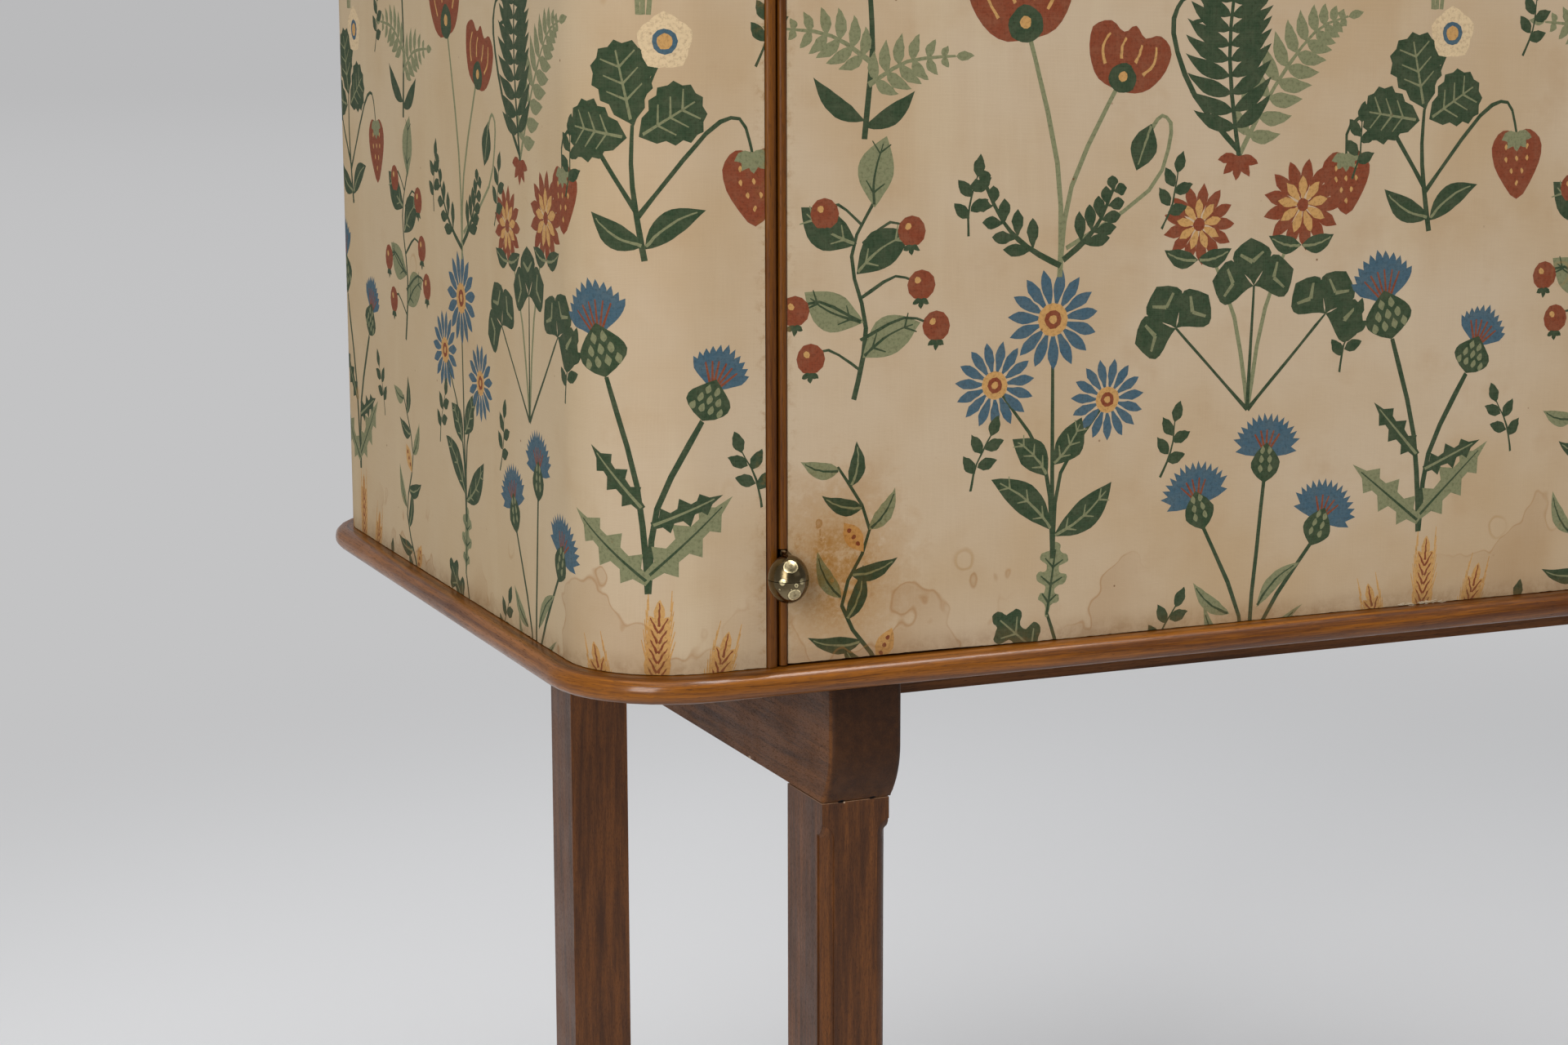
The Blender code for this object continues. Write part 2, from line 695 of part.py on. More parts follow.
def arm_outline(height, arm_back, is_door):
    """The arm from a leaf to its half of the egg, from the side, as (y, z). It ends short of the pin."""
    start = FRONT - AXIS_OUT + ARM_START_SHARE * EGG_RADIUS
    if not is_door:
        seam, root = height - FIT / 2, height - ARM_ROOT
        return [(start, root), (arm_back, root), (arm_back, seam), (start, seam)]
    seam, root = height + FIT / 2, height + EGG_HALF_HEIGHT + ARM_RISE
    crown = height + ARM_CROWN_SHARE * EGG_HALF_HEIGHT
    behind_nose = FRONT - STRIP_PROUD
    return [(start, seam), (arm_back, seam), (arm_back, root), (behind_nose, root), (start, crown)]


def egg_half(is_door):
    """The door's half hangs over the pin, which stands on the frame's half."""
    steps = range(EGG_STEPS + 1)
    angles = [math.pi / 2 * i / EGG_STEPS for i in steps]
    curve = [(EGG_RADIUS * math.sin(a), EGG_HALF_HEIGHT * math.cos(a)) for a in angles]
    seam = FIT / 2
    if is_door:
        bore, bore_top = PIN_RADIUS + FIT, PIN_HEIGHT + FIT
        profile = curve[:-1] + [(EGG_RADIUS, seam), (bore, seam), (bore, bore_top), (0, bore_top)]
    else:
        profile = [(0, PIN_HEIGHT), (PIN_RADIUS, PIN_HEIGHT), (PIN_RADIUS, -seam), (EGG_RADIUS, -seam)]
        profile += [(r, -z) for r, z in reversed(curve[:-1])]
    return turned_mesh(profile, EGG_SIDES)


def hinge_half(name, side, height, is_door):
    """Half an egg with its arm and leaf, and the cutter for their housing."""
    edge, into = (DOOR_EDGE, 1) if is_door else (STILE_EDGE, -1)
    leaf_front = FRONT + LEAF_SETBACK
    leaf_x = x_span(side, edge, edge + into * LEAF_THICKNESS)
    arm_x = x_span(side, edge, edge + into * ARM_THICKNESS)
    half = add(name, egg_half(is_door), BRASS, (x_at(side, AXIS_U), FRONT - AXIS_OUT, height))
    arm_back = leaf_front + LEAF_THICKNESS
    arm = outline_mesh([arm_outline(height, arm_back, is_door)], arm_x[1] - arm_x[0])
    arm_helper = helper(f"{name}_arm", arm, (sum(arm_x) / 2, 0, 0), SIDEWAYS)
    low = (leaf_x[0], leaf_front, height - LEAF_HEIGHT / 2)
    high = (leaf_x[1], leaf_front + LEAF_DEPTH, height + LEAF_HEIGHT / 2)
    leaf_helper = box_helper(f"{name}_leaf", low, high)
    join(half, arm_helper, leaf_helper)
    return half, [arm_helper, leaf_helper]


def housing(name, side, height, is_door):
    """Cutters for the recess of a leaf and its arm in the wood."""
    edge, into = (DOOR_EDGE, 1) if is_door else (STILE_EDGE, -1)
    leaf_front = FRONT + LEAF_SETBACK
    open_u = edge - into * OVERRUN
    leaf_x = x_span(side, open_u, edge + into * (LEAF_THICKNESS + FIT))
    arm_x = x_span(side, open_u, edge + into * (ARM_THICKNESS + FIT))
    leaf = box_helper(
        f"{name}_leaf_recess",
        (leaf_x[0], leaf_front - FIT, height - LEAF_HEIGHT / 2 - FIT),
        (leaf_x[1], leaf_front + LEAF_DEPTH + FIT, height + LEAF_HEIGHT / 2 + FIT),
    )
    if is_door:
        top, bottom = height + EGG_HALF_HEIGHT + ARM_RISE + FIT, height - FIT
    else:
        top, bottom = height + FIT, height - ARM_ROOT - FIT
    arm_back = leaf_front + LEAF_THICKNESS + FIT
    front = FRONT - STRIP_PROUD - OVERRUN
    arm = box_helper(f"{name}_arm_recess", (arm_x[0], front, bottom), (arm_x[1], arm_back, top))
    return [leaf, arm]


def make_stile_fittings():
    """The fixed strips and the frame's halves of the hinges."""
    for side_name, side in SIDES.items():
        u = (STILE_COVER_WIDTH, STILE_EDGE)
        fixed = strip(f"{side_name}_stile_strip", side, u, (BODY_Z, BODY_TOP))
        for level, height in HINGE_HEIGHTS.items():
            name = f"{level}_{side_name}_hinge_frame_half"
            hinge_half(name, side, height, False)
            cut(fixed, *housing(name, side, height, False))


# Fittings on the backs of the doors


def slide_case_outline():
    """A slide bolt's case in plan, as (u, v): a flanged channel that is open along its back."""
    base = SLIDE_CASE_BASE
    half = ROD_RADIUS + FIT
    slot = KNOB_NECK_RADIUS + RUN
    wall = half + SLIDE_CASE_WALL
    flange = wall + SLIDE_FLANGE_WIDTH
    depth = base + 2 * half
    back = depth + SLIDE_CASE_WALL
    thin = SLIDE_FLANGE_THICKNESS
    right = [(flange, 0), (flange, thin), (wall, thin), (wall, back), (slot, back), (slot, depth)]
    right += [(half, depth), (half, base)]
    left = [(-u, v) for u, v in reversed(right)]
    return [(SLIDE_U + u, FITTINGS_V + v) for u, v in right + left]


def slide_levels():
    """Name, direction of the throw, the panel face that it enters and the middle of its case."""
    middle_off = ROD_LENGTH / 2 + RUN
    return (
        ("top", 1, CEILING_Z, CEILING_Z - middle_off),
        ("bottom", -1, FLOOR_Z, FLOOR_Z + middle_off),
    )


def make_slide_bolts(side):
    """Two slide bolts, which lock the left door to the case's ceiling and floor. Returns their cases."""
    outline = plan(side, slide_case_outline())
    half = ROD_RADIUS + FIT
    rod_y = FRONT + ROD_V
    neck = FRONT + FITTINGS_V + SLIDE_CASE_BASE + 2 * half + SLIDE_CASE_WALL + RUN - rod_y
    knob_profile = [
        (0, neck + KNOB_LENGTH),
        (KNOB_RADIUS / 2, neck + KNOB_LENGTH),
        (KNOB_RADIUS, neck + KNOB_LENGTH / 2),
        (KNOB_RADIUS / 2, neck),
        (KNOB_NECK_RADIUS, neck),
        (KNOB_NECK_RADIUS, 0),
        (0, 0),
    ]
    cases = []
    for name, _, _, z in slide_levels():
        low_z, high_z = z - SLIDE_CASE_HEIGHT / 2, z + SLIDE_CASE_HEIGHT / 2
        cases.append(upright(f"{name}_slide_bolt_case", [outline], low_z, high_z, BRASS))
        place = (x_at(side, SLIDE_U), rod_y, z)
        rod = add(f"{name}_slide_bolt", rod_mesh(ROD_RADIUS, ROD_LENGTH), BRASS, place)
        knob = helper(f"{name}_knob", turned_mesh(knob_profile, ROD_SIDES), place, (-90, 0, 0))
        join(rod, knob)
        carry(f"{name}_slide_axis", place, [rod, knob])
    return cases


def rod_holes_cutter():
    """Where the slide bolts enter the case's ceiling and floor."""
    x, y = x_at(SIDES["left"], SLIDE_U), FRONT + ROD_V
    depth = ROD_THROW + RUN
    places = [
        Matrix.Translation((x, y, face + way * (depth - OVERRUN) / 2))
        for _, way, face, _ in slide_levels()
    ]
    hole = rod_mesh(ROD_RADIUS + RUN, depth + OVERRUN)
    return helper("rod_holes", repeated_mesh(hole, places))


def make_lock(side):
    """The lock on the right door's back: a case that is open to the door, and its bolt."""
    half = LOCK_CASE_HEIGHT / 2
    v = (FITTINGS_V, FITTINGS_V + LOCK_CASE_DEPTH)
    case = box_uv("lock_case", side, LOCK_U, v, (LOCK_Z - half, LOCK_Z + half), STEEL)
    x = x_span(side, *LOCK_U)
    y = (FRONT + v[0], FRONT + v[0] + LOCK_FLANGE_THICKNESS)
    flange = box_helper(
        "lock_flange",
        (x[0] + LOCK_CASE_WALL, y[0], LOCK_Z - half - LOCK_FLANGE),
        (x[1] - LOCK_CASE_WALL, y[1], LOCK_Z + half + LOCK_FLANGE),
    )
    wall = LOCK_CASE_WALL
    pocket = box_helper(
        "lock_pocket",
        (x[0] + wall, FRONT + v[0] - OVERRUN, LOCK_Z - half + wall),
        (x[1] - wall, FRONT + v[1] - wall, LOCK_Z + half - wall),
    )
    slot_x = x_span(side, LOCK_U[1] - wall - OVERRUN, LOCK_U[1] + OVERRUN)
    slot = box_helper(
        "lock_bolt_slot",
        (slot_x[0], FRONT + BOLT_V[0] - FIT, BOLT_Z[0] - FIT),
        (slot_x[1], FRONT + BOLT_V[1] + FIT, BOLT_Z[1] + FIT),
    )
    join(case, flange)
    cut(case, pocket, slot)
    bolt_u = (LOCK_U[1] - FIT - BOLT_LENGTH, LOCK_U[1] - FIT)
    return case, box_uv("lock_bolt", side, bolt_u, BOLT_V, BOLT_Z, STEEL)


def make_keeper(side):
    """The flanged box on the left door's back that the lock's bolt enters."""
    wall = KEEPER_WALL
    u = (MEETING_U - BOLT_THROW - KEEPER_SPARE - wall, MEETING_U - FIT)
    z = (BOLT_Z[0] - RUN - wall, BOLT_Z[1] + RUN + wall)
    v = (FITTINGS_V, BOLT_V[1] + RUN + wall)
    keeper = box_uv("lock_keeper", side, u, v, z, STEEL)
    x = x_span(side, *u)
    y = FRONT + FITTINGS_V
    flange = box_helper(
        "keeper_flange",
        (x[0] + wall, y, z[0] - KEEPER_FLANGE),
        (x[1] - wall, y + SLIDE_FLANGE_THICKNESS, z[1] + KEEPER_FLANGE),
    )
    pocket_x = x_span(side, u[0] + wall, u[1] + OVERRUN)
    pocket = box_helper(
        "keeper_pocket",
        (pocket_x[0], FRONT + BOLT_V[0] - RUN, z[0] + wall),
        (pocket_x[1], FRONT + BOLT_V[1] + RUN, z[1] - wall),
    )
    join(keeper, flange)
    cut(keeper, pocket)
    return keeper


def keyhole_cutter(side):
    """A round hole with a slot below it, through the door and its escutcheon."""
    radius = KEY_SHANK_RADIUS + RUN
    half_slot = KEY_BIT_THICKNESS / 2 + RUN
    drop = KEY_BIT_DROP + RUN
    start = 270 + math.degrees(math.asin(half_slot / radius))
    ring = arc((0, 0), radius, start, start + 360 - 2 * (start - 270), ROD_SIDES)
    outline = [(-half_slot, -drop), (half_slot, -drop), *ring]
    depth = INSIDE + ESCUTCHEON_THICKNESS + 2 * OVERRUN
    middle_y = FRONT + (INSIDE - ESCUTCHEON_THICKNESS) / 2
    place = (x_at(side, KEY_U), middle_y, LOCK_Z)
    return helper("keyhole", outline_mesh([outline], depth), place, (90, 0, 0))


def make_key(side):
    """The key, with its bow in front of the door and its bit in the lock."""
    start = FRONT - KEY_REACH
    bit_end = FRONT + BOLT_V[0] - RUN
    bit_start = bit_end - KEY_BIT_LENGTH
    bow_end = start + KEY_BOW_HEIGHT
    shank_start = bow_end - KEY_BOW_RIM
    x = x_at(side, KEY_U)
    shank_mesh = rod_mesh(KEY_SHANK_RADIUS, bit_end - shank_start)
    place = (x, (shank_start + bit_end) / 2, LOCK_Z)
    shank = add("key", shank_mesh, BRASS, place, (90, 0, 0))
    circle = arc((0, 0), 1, 0, 360, BOW_STEPS)[:-1]
    rings = []
    for inset in (0, KEY_BOW_RIM):
        half_height, half_width = KEY_BOW_HEIGHT / 2 - inset, KEY_BOW_WIDTH / 2 - inset
        rings.append([(half_height * a, half_width * b) for a, b in circle])
    bow_mesh = outline_mesh(rings, KEY_BOW_THICKNESS)
    bow = helper("key_bow", bow_mesh, (x, (start + bow_end) / 2, LOCK_Z), SIDEWAYS)
    half = KEY_BIT_THICKNESS / 2
    low, high = (x - half, bit_start, LOCK_Z - KEY_BIT_DROP), (x + half, bit_end, LOCK_Z)
    bit = box_helper("key_bit", low, high)
    join(shank, bow, bit)
    return shank, [bow, bit]


def make_escutcheon(side, keyhole):
    radius, thick = ESCUTCHEON_RADIUS, ESCUTCHEON_THICKNESS
    profile = [(0, thick), (radius - thick, thick), (radius, 0), (0, 0)]
    place = (x_at(side, KEY_U), FRONT - FIT, LOCK_Z)
    escutcheon = add("escutcheon", turned_mesh(profile, BOW_STEPS), BRASS, place, (90, 0, 0))
    cut(escutcheon, keyhole)
    return escutcheon


# Doors


def make_door(side_name):
    """A door with its cloth, its strips, its halves of the hinges and what its back carries."""
    side = SIDES[side_name]
    z = (DOOR_Z, DOOR_TOP)
    hinge_u = (DOOR_EDGE, DOOR_EDGE + HINGE_STRIP_WIDTH)
    meeting_u = (MEETING_U - MEETING_STRIP_WIDTH, MEETING_U)
    inner_u = (hinge_u[1] + FIT, meeting_u[0] - FIT)
    panel = box_uv(f"{side_name}_door_panel", side, inner_u, (COVER_INSET, INSIDE), z, INNER_WOOD)
    cover = box_uv(f"{side_name}_door_cover", side, inner_u, (0, CLOTH), z, COVERING)
    strip_z = (BODY_Z + STRIP_END_GAP, BODY_TOP - STRIP_END_GAP)
    hinge_strip = strip(f"{side_name}_door_hinge_strip", side, hinge_u, strip_z)
    meeting_strip = strip(f"{side_name}_door_meeting_strip", side, meeting_u, strip_z)
    pieces = [panel, cover, hinge_strip, meeting_strip]
    for level, height in HINGE_HEIGHTS.items():
        name = f"{level}_{side_name}_hinge_door_half"
        half, parts = hinge_half(name, side, height, True)
        recess = housing(name, side, height, True)
        cut(hinge_strip, *recess)
        pieces += [half, *parts, *recess]
    if side_name == "left":
        pieces += [*make_slide_bolts(side), make_keeper(side)]
    else:
        case, bolt = make_lock(side)
        keyhole = keyhole_cutter(side)
        key, key_parts = make_key(side)
        pieces += [case, make_escutcheon(side, keyhole), keyhole]
        cut(panel, keyhole)
        cut(cover, keyhole)
        carry("lock_bolt_axis", bolt.location.copy(), [bolt])
        carry("key_axis", (x_at(side, KEY_U), FRONT, LOCK_Z), [key, *key_parts])
    return carry(f"{side_name}_door_axis", (x_at(side, AXIS_U), FRONT - AXIS_OUT, DOOR_Z), pieces)


def make_cabinet():
    make_boards(make_stand())
    housed = make_case()
    make_inner_panels(rod_holes_cutter())
    make_shelves(housed)
    make_covers()
    make_stile_fittings()
    pivots = {side_name: make_door(side_name) for side_name in SIDES}
    riders = {"left": ("top_slide_axis", "bottom_slide_axis"), "right": ("lock_bolt_axis", "key_axis")}
    for side_name, names in riders.items():
        for rider in [bpy.data.objects[name] for name in names]:
            rider.parent = pivots[side_name]
            rider.location = rider.location - pivots[side_name].location


make_cabinet()
for made in CABINET.objects:
    if made.type == "MESH":
        made.data.shade_smooth()
        made.data.set_sharp_from_angle(angle=math.radians(35))
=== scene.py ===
"""The looks of an upholstered cabinet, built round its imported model. Metres, +Z up, -Y to the front.

The print is drawn flat, as shapes in millimetres, and laid round the body with the cloth: s runs along
the cloth from the middle of the front, to the left where it is below 0, and z is the height.
"""

import math
import random
from collections import defaultdict

import bmesh
import bpy
import numpy as np
from mathutils import Matrix, Vector
from mathutils.geometry import delaunay_2d_cdt


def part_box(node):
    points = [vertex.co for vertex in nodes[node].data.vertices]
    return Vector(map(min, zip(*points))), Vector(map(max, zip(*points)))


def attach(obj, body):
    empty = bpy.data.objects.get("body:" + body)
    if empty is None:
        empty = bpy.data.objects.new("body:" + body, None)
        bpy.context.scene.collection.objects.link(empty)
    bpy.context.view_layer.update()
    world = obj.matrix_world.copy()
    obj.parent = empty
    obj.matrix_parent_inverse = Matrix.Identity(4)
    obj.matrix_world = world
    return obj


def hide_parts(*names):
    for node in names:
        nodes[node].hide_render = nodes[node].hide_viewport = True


MM = 0.001
LOWER_EDGE = 0.6228  # of the cloth, on z
STRIP_PLACE = 0.4893  # on s, the middle of the strips beside the hinges

# Where damp has stained the cloth brown: place and half size in (s, z), strength
BLOOMS = (
    ((-0.4655, 0.671), (0.015, 0.027), 1.0),
    ((-0.478, 0.677), (0.006, 0.010), 0.9),
    ((-0.460, 0.664), (0.040, 0.050), 0.9),
    ((0.460, 0.662), (0.020, 0.036), 0.7),
    ((-0.474, 1.348), (0.014, 0.030), 0.45),
)

# Drips beside the lower left hinge: place and half size in (s, z)
DRIPS = (
    ((-0.4688, 0.6857), (1.5 * MM, 2.1 * MM)), ((-0.4681, 0.6817), (0.4 * MM, 1.5 * MM)),
    ((-0.4677, 0.6785), (0.7 * MM, 0.7 * MM)), ((-0.4622, 0.6596), (0.8 * MM, 0.8 * MM)),
)

# The hinges: the eggs' radius, the leaves' height, and the strips' faces that they are let into, on x
EGG_RADIUS, LEAF_HEIGHT = 9.1 * MM, 44 * MM
STILE_FACE, DOOR_FACE = 488.6 * MM, 487.6 * MM
FLANGE = 1.5 * MM  # the thickness of the flanges of the lock, its keeper and the slide bolts

# Pale patches on the lower left egg: offset from its middle and radius, in mm
EGG_PATCHES = (
    ((-1.6, -6.3, 6.7), 3.2), ((-0.15, -7.5, -5.85), 3.1), ((-0.1, -8.9, -1.2), 1.0),
    ((-6.57, -5.43, -3.23), 0.45), ((-2.14, -8.3, -3.05), 0.35),
)

# Where the front left leg's joint gapes (painted shade in the gaps), chips in the bearer and the leg, and a
# painted highlight along the leg's upper edges, where an eased edge would catch the light: place and half
# size
# Painted shade: near-black spots stand in for the shade inside the joint's gaps
GAP_SHADES = (
    ((-0.4441, -0.1897, 0.5484), (2.0 * MM, 4 * MM, 0.9 * MM)),
    ((-0.4283, -0.1897, 0.5486), (2.0 * MM, 4 * MM, 0.9 * MM)),
)
CHIPS = (
    ((-0.4537, -0.1019, 0.5493), (0.8 * MM, 1.7 * MM, 0.8 * MM)),
    ((-0.4425, -0.1899, 0.5477), (0.6 * MM, 1 * MM, 0.5 * MM)),
)
# A painted highlight: a pale band along the leg's upper edges stands in for an eased edge catching the light
EDGE_HIGHLIGHT = ((-0.4367, -0.1692, 0.5481), (70 * MM, 70 * MM, 0.35 * MM))

# Where the left door's cloth frays at its lower edge: from and to on s, and how many threads
FRAYS = ((-0.1606, -0.1548, 7), (-0.1462, -0.1392, 16))

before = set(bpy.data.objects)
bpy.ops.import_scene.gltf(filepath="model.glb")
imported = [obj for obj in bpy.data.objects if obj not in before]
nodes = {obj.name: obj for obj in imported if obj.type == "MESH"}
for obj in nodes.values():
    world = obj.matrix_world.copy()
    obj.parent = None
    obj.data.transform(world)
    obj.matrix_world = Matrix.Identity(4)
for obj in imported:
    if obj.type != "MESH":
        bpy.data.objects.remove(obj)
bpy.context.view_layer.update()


def add_object(name, data):
    """Links a new object with this data to the scene."""
    made = bpy.data.objects.new(name, data)
    bpy.context.scene.collection.objects.link(made)
    return made


def add_piece(mesh, material, body):
    """Adds a mesh that rides on a body, with its material in this slot."""
    mesh.materials.append(material)
    made = add_object(mesh.name, mesh)
    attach(made, body)
    return made


# Camera, light and floor


def make_camera():
    yaw, tilt, roll = 0.4016, 0.1784, 0.0023
    data = bpy.data.cameras.new("camera")
    data.sensor_width, data.lens, data.clip_end = 36, 69.04, 200
    camera = add_object("camera", data)
    turn = (
        Matrix.Rotation(-yaw, 4, "Z") @ Matrix.Rotation(math.pi / 2 - tilt, 4, "X")
        @ Matrix.Rotation(-roll, 4, "Z")
    )
    camera.matrix_world = Matrix.Translation((-0.9941, -1.4178, 0.9221)) @ turn
    bpy.context.scene.camera = camera


def make_lamp(name, place, target, size, power):
    data = bpy.data.lights.new(name, "AREA")
    data.shape = "RECTANGLE"
    data.size, data.size_y = size
    data.energy = power
    lamp = add_object(name, data)
    lamp.location = place
    lamp.rotation_euler = (Vector(target) - Vector(place)).to_track_quat("-Z", "Y").to_euler()


class Nodes:
    """Adds the nodes of one tree, each with one call that returns its output."""

    def __init__(self, tree):
        self.tree = tree
        tree.nodes.clear()

    def add(self, kind, output=0, settings=None, **inputs):
        """Inputs go by their names, or as i and their number. A colour may be six hex digits."""
        node = self.tree.nodes.new(kind)
        for name, value in (settings or {}).items():
            setattr(node, name, value)
        for name, value in inputs.items():
            socket = self.socket(node, name)
            if isinstance(value, bpy.types.NodeSocket):
                self.tree.links.new(value, socket)
            else:
                is_hex = socket.type == "RGBA" and isinstance(value, str)
                socket.default_value = linear(value) if is_hex else value
        return node.outputs[output] if node.outputs else None

    def socket(self, node, name):
        if name[0] == "i" and name[1:].isdigit():
            return node.inputs[int(name[1:])]
        return node.inputs[name.replace("_", " ")]

    def math(self, operation, a, b=0.0, c=0.0, clamp=False):
        settings = {"operation": operation, "use_clamp": clamp}
        return self.add("ShaderNodeMath", settings=settings, i0=a, i1=b, i2=c)

    def times(self, a, b):
        return self.math("MULTIPLY", a, b)

    def plus(self, a, b):
        return self.math("ADD", a, b)

    def minus(self, a, b):
        return self.math("SUBTRACT", a, b)

    def times_plus(self, a, b, c):
        return self.math("MULTIPLY_ADD", a, b, c)

    def larger(self, a, b):
        return self.math("MAXIMUM", a, b)

    def absolute(self, a):
        return self.math("ABSOLUTE", a)

    def ramp(self, value, low, high, low_value=0.0, high_value=1.0):
        settings = {"clamp": True, "interpolation_type": "SMOOTHSTEP"}
        names = dict(i0=value, i1=low, i2=high, i3=low_value, i4=high_value)
        return self.add("ShaderNodeMapRange", settings=settings, **names)

    def fall(self, value, low, high, strength=1.0):
        return self.ramp(value, low, high, strength, 0.0)

    def ring(self, value, low, top, high, end):
        """1 between top and high, 0 below low and past end."""
        return self.times(self.ramp(value, low, top), self.fall(value, high, end))

    def mix(self, share, a, b, blend="MIX"):
        settings = {"data_type": "RGBA", "blend_type": blend, "clamp_factor": True}
        return self.add("ShaderNodeMix", 2, settings, i0=share, i6=a, i7=b)

    def noise(self, vector, scale, detail=2.0, rough=0.5, output=0):
        return self.add(
            "ShaderNodeTexNoise", output, Vector=vector, Scale=scale, Detail=detail, Roughness=rough
        )

    def streaks(self, vector, scale, detail=2.0, rough=0.5, output=0):
        """Noise with a scale of its own on each axis."""
        return self.noise(self.stretched(vector, scale), 1.0, detail, rough, output)

    def spots(self, vector, scale):
        """The distance to the nearest of scattered points."""
        return self.add("ShaderNodeTexVoronoi", "Distance", Vector=vector, Scale=scale)

    def stretched(self, vector, scale):
        return self.add("ShaderNodeMapping", settings={"vector_type": "POINT"}, Vector=vector, Scale=scale)

    def position(self):
        return self.add("ShaderNodeTexCoord", "Object")

    def parts(self, vector):
        node = self.tree.nodes.new("ShaderNodeSeparateXYZ")
        self.tree.links.new(vector, node.inputs[0])
        return node.outputs

    def vector(self, x, y, z):
        return self.add("ShaderNodeCombineXYZ", i0=x, i1=y, i2=z)

    def vector_math(self, operation, a, b=(0, 0, 0), output="Vector"):
        return self.add("ShaderNodeVectorMath", output, {"operation": operation}, i0=a, i1=b)

    def distance(self, a, b):
        return self.vector_math("DISTANCE", a, b, "Value")

    def moved(self, vector, offset, scale):
        """The vector plus the offset times the scale."""
        settings = {"operation": "MULTIPLY_ADD"}
        return self.add("ShaderNodeVectorMath", settings=settings, i0=offset, i1=scale, i2=vector)

    def reach(self, across, up, centre, half):
        """How far a place is from the middle of an ellipse, where its rim is at 1."""
        u = self.math("DIVIDE", self.minus(across, centre[0]), half[0])
        v = self.math("DIVIDE", self.minus(up, centre[1]), half[1])
        return self.math("SQRT", self.plus(self.times(u, u), self.times(v, v)))

    def bump(self, height, distance, strength, **normal):
        return self.add("ShaderNodeBump", Height=height, Distance=distance, Strength=strength, **normal)


def linear(code, alpha=1.0):
    """A colour from its six hex digits."""
    values = [int(code[i : i + 2], 16) / 255 for i in (0, 2, 4)]
    return (*[v / 12.92 if v <= 0.04045 else ((v + 0.055) / 1.055) ** 2.4 for v in values], alpha)


def make_world():
    """Even light all round. Gloss shows a pale studio with a dark room in front of the cabinet."""
    world = bpy.data.worlds.new("studio")
    bpy.context.scene.world = world
    world.use_nodes = True
    n = Nodes(world.node_tree)
    path = n.tree.nodes.new("ShaderNodeLightPath")
    towards = n.add("ShaderNodeTexCoord", "Generated")
    ahead = n.vector_math("DOT_PRODUCT", towards, (0.45, -0.89, 0.1), "Value")
    room = n.mix(n.ramp(ahead, 0.1, 0.75), "a4a4a5", "7c7b7a")
    light = n.add("ShaderNodeBackground", Color=(0.96, 0.98, 1.0, 1), Strength=0.30)
    gloss = n.add("ShaderNodeBackground", Color=room, Strength=1.0)
    shown = n.add("ShaderNodeBackground", Color="bababb", Strength=1.0)
    mixed = n.add("ShaderNodeMixShader", i0=path.outputs["Is Glossy Ray"], i1=light, i2=gloss)
    mixed = n.add("ShaderNodeMixShader", i0=path.outputs["Is Camera Ray"], i1=mixed, i2=shown)
    n.add("ShaderNodeOutputWorld", Surface=mixed)


def make_floor():
    """A pale sweep that keeps the shadow near the cabinet, with painted shade that darkens it towards the
    right, and fades into the world's grey far off.
    """
    mesh = bpy.data.meshes.new("floor")
    work = bmesh.new()
    bmesh.ops.create_circle(work, cap_ends=True, segments=64, radius=60)
    work.to_mesh(mesh)
    work.free()
    floor = add_object("floor", mesh)
    material, n = new_material("floor")
    place = n.position()
    away = n.distance(place, (0.3, 0.5, 0))
    x, y, _ = n.parts(place)
    # Painted shade: the floor's colour darkens towards the right, as though less light reached it there
    rightward = n.plus(n.times(x, 0.92), n.times(y, -0.39))
    shade = n.mix(n.ramp(rightward, 0.0, 1.5), (0.79, 0.79, 0.80, 1), (0.70, 0.70, 0.705, 1))
    paint = n.add("ShaderNodeBsdfPrincipled", Base_Color=shade, Roughness=0.9)
    tint = n.mix(n.ramp(away, 4.0, 26.0), "c3c3c4", "bababb")
    far = n.add("ShaderNodeEmission", Color=tint, Strength=1.0)
    share = n.ramp(away, 1.0, 2.2)
    n.add("ShaderNodeOutputMaterial", Surface=n.add("ShaderNodeMixShader", i0=share, i1=paint, i2=far))
    mesh.materials.append(material)


# Materials


def new_material(name):
    material = bpy.data.materials.new(name)
    material.use_nodes = True
    return material, Nodes(material.node_tree)


def finish_material(n, normal=None, **inputs):
    if normal is not None:
        inputs["Normal"] = normal
    n.add("ShaderNodeOutputMaterial", Surface=n.add("ShaderNodeBsdfPrincipled", **inputs))


def edge_run(n, position):
    """The grain's way on the boards: (across, height, along), round their lipping and straight inside it."""
    low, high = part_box("base_board")
    radius, lipping = 59.4 * MM, 13 * MM
    x, y, z = n.parts(position)
    core_x = n.math("MINIMUM", n.larger(x, low.x + radius), high.x - radius)
    core_y = n.math("MINIMUM", n.larger(y, low.y + radius), high.y - radius)
    dx, dy = n.absolute(n.minus(x, core_x)), n.absolute(n.minus(y, core_y))
    across = n.math("SQRT", n.plus(n.times(dx, dx), n.times(dy, dy)))
    turn = n.times(n.math("ARCTAN2", dx, dy), radius)
    around = n.vector(across, z, n.plus(n.plus(n.absolute(core_x), turn), core_y))
    return n.mix(n.math("GREATER_THAN", across, radius - lipping), n.vector(y, z, x), around)


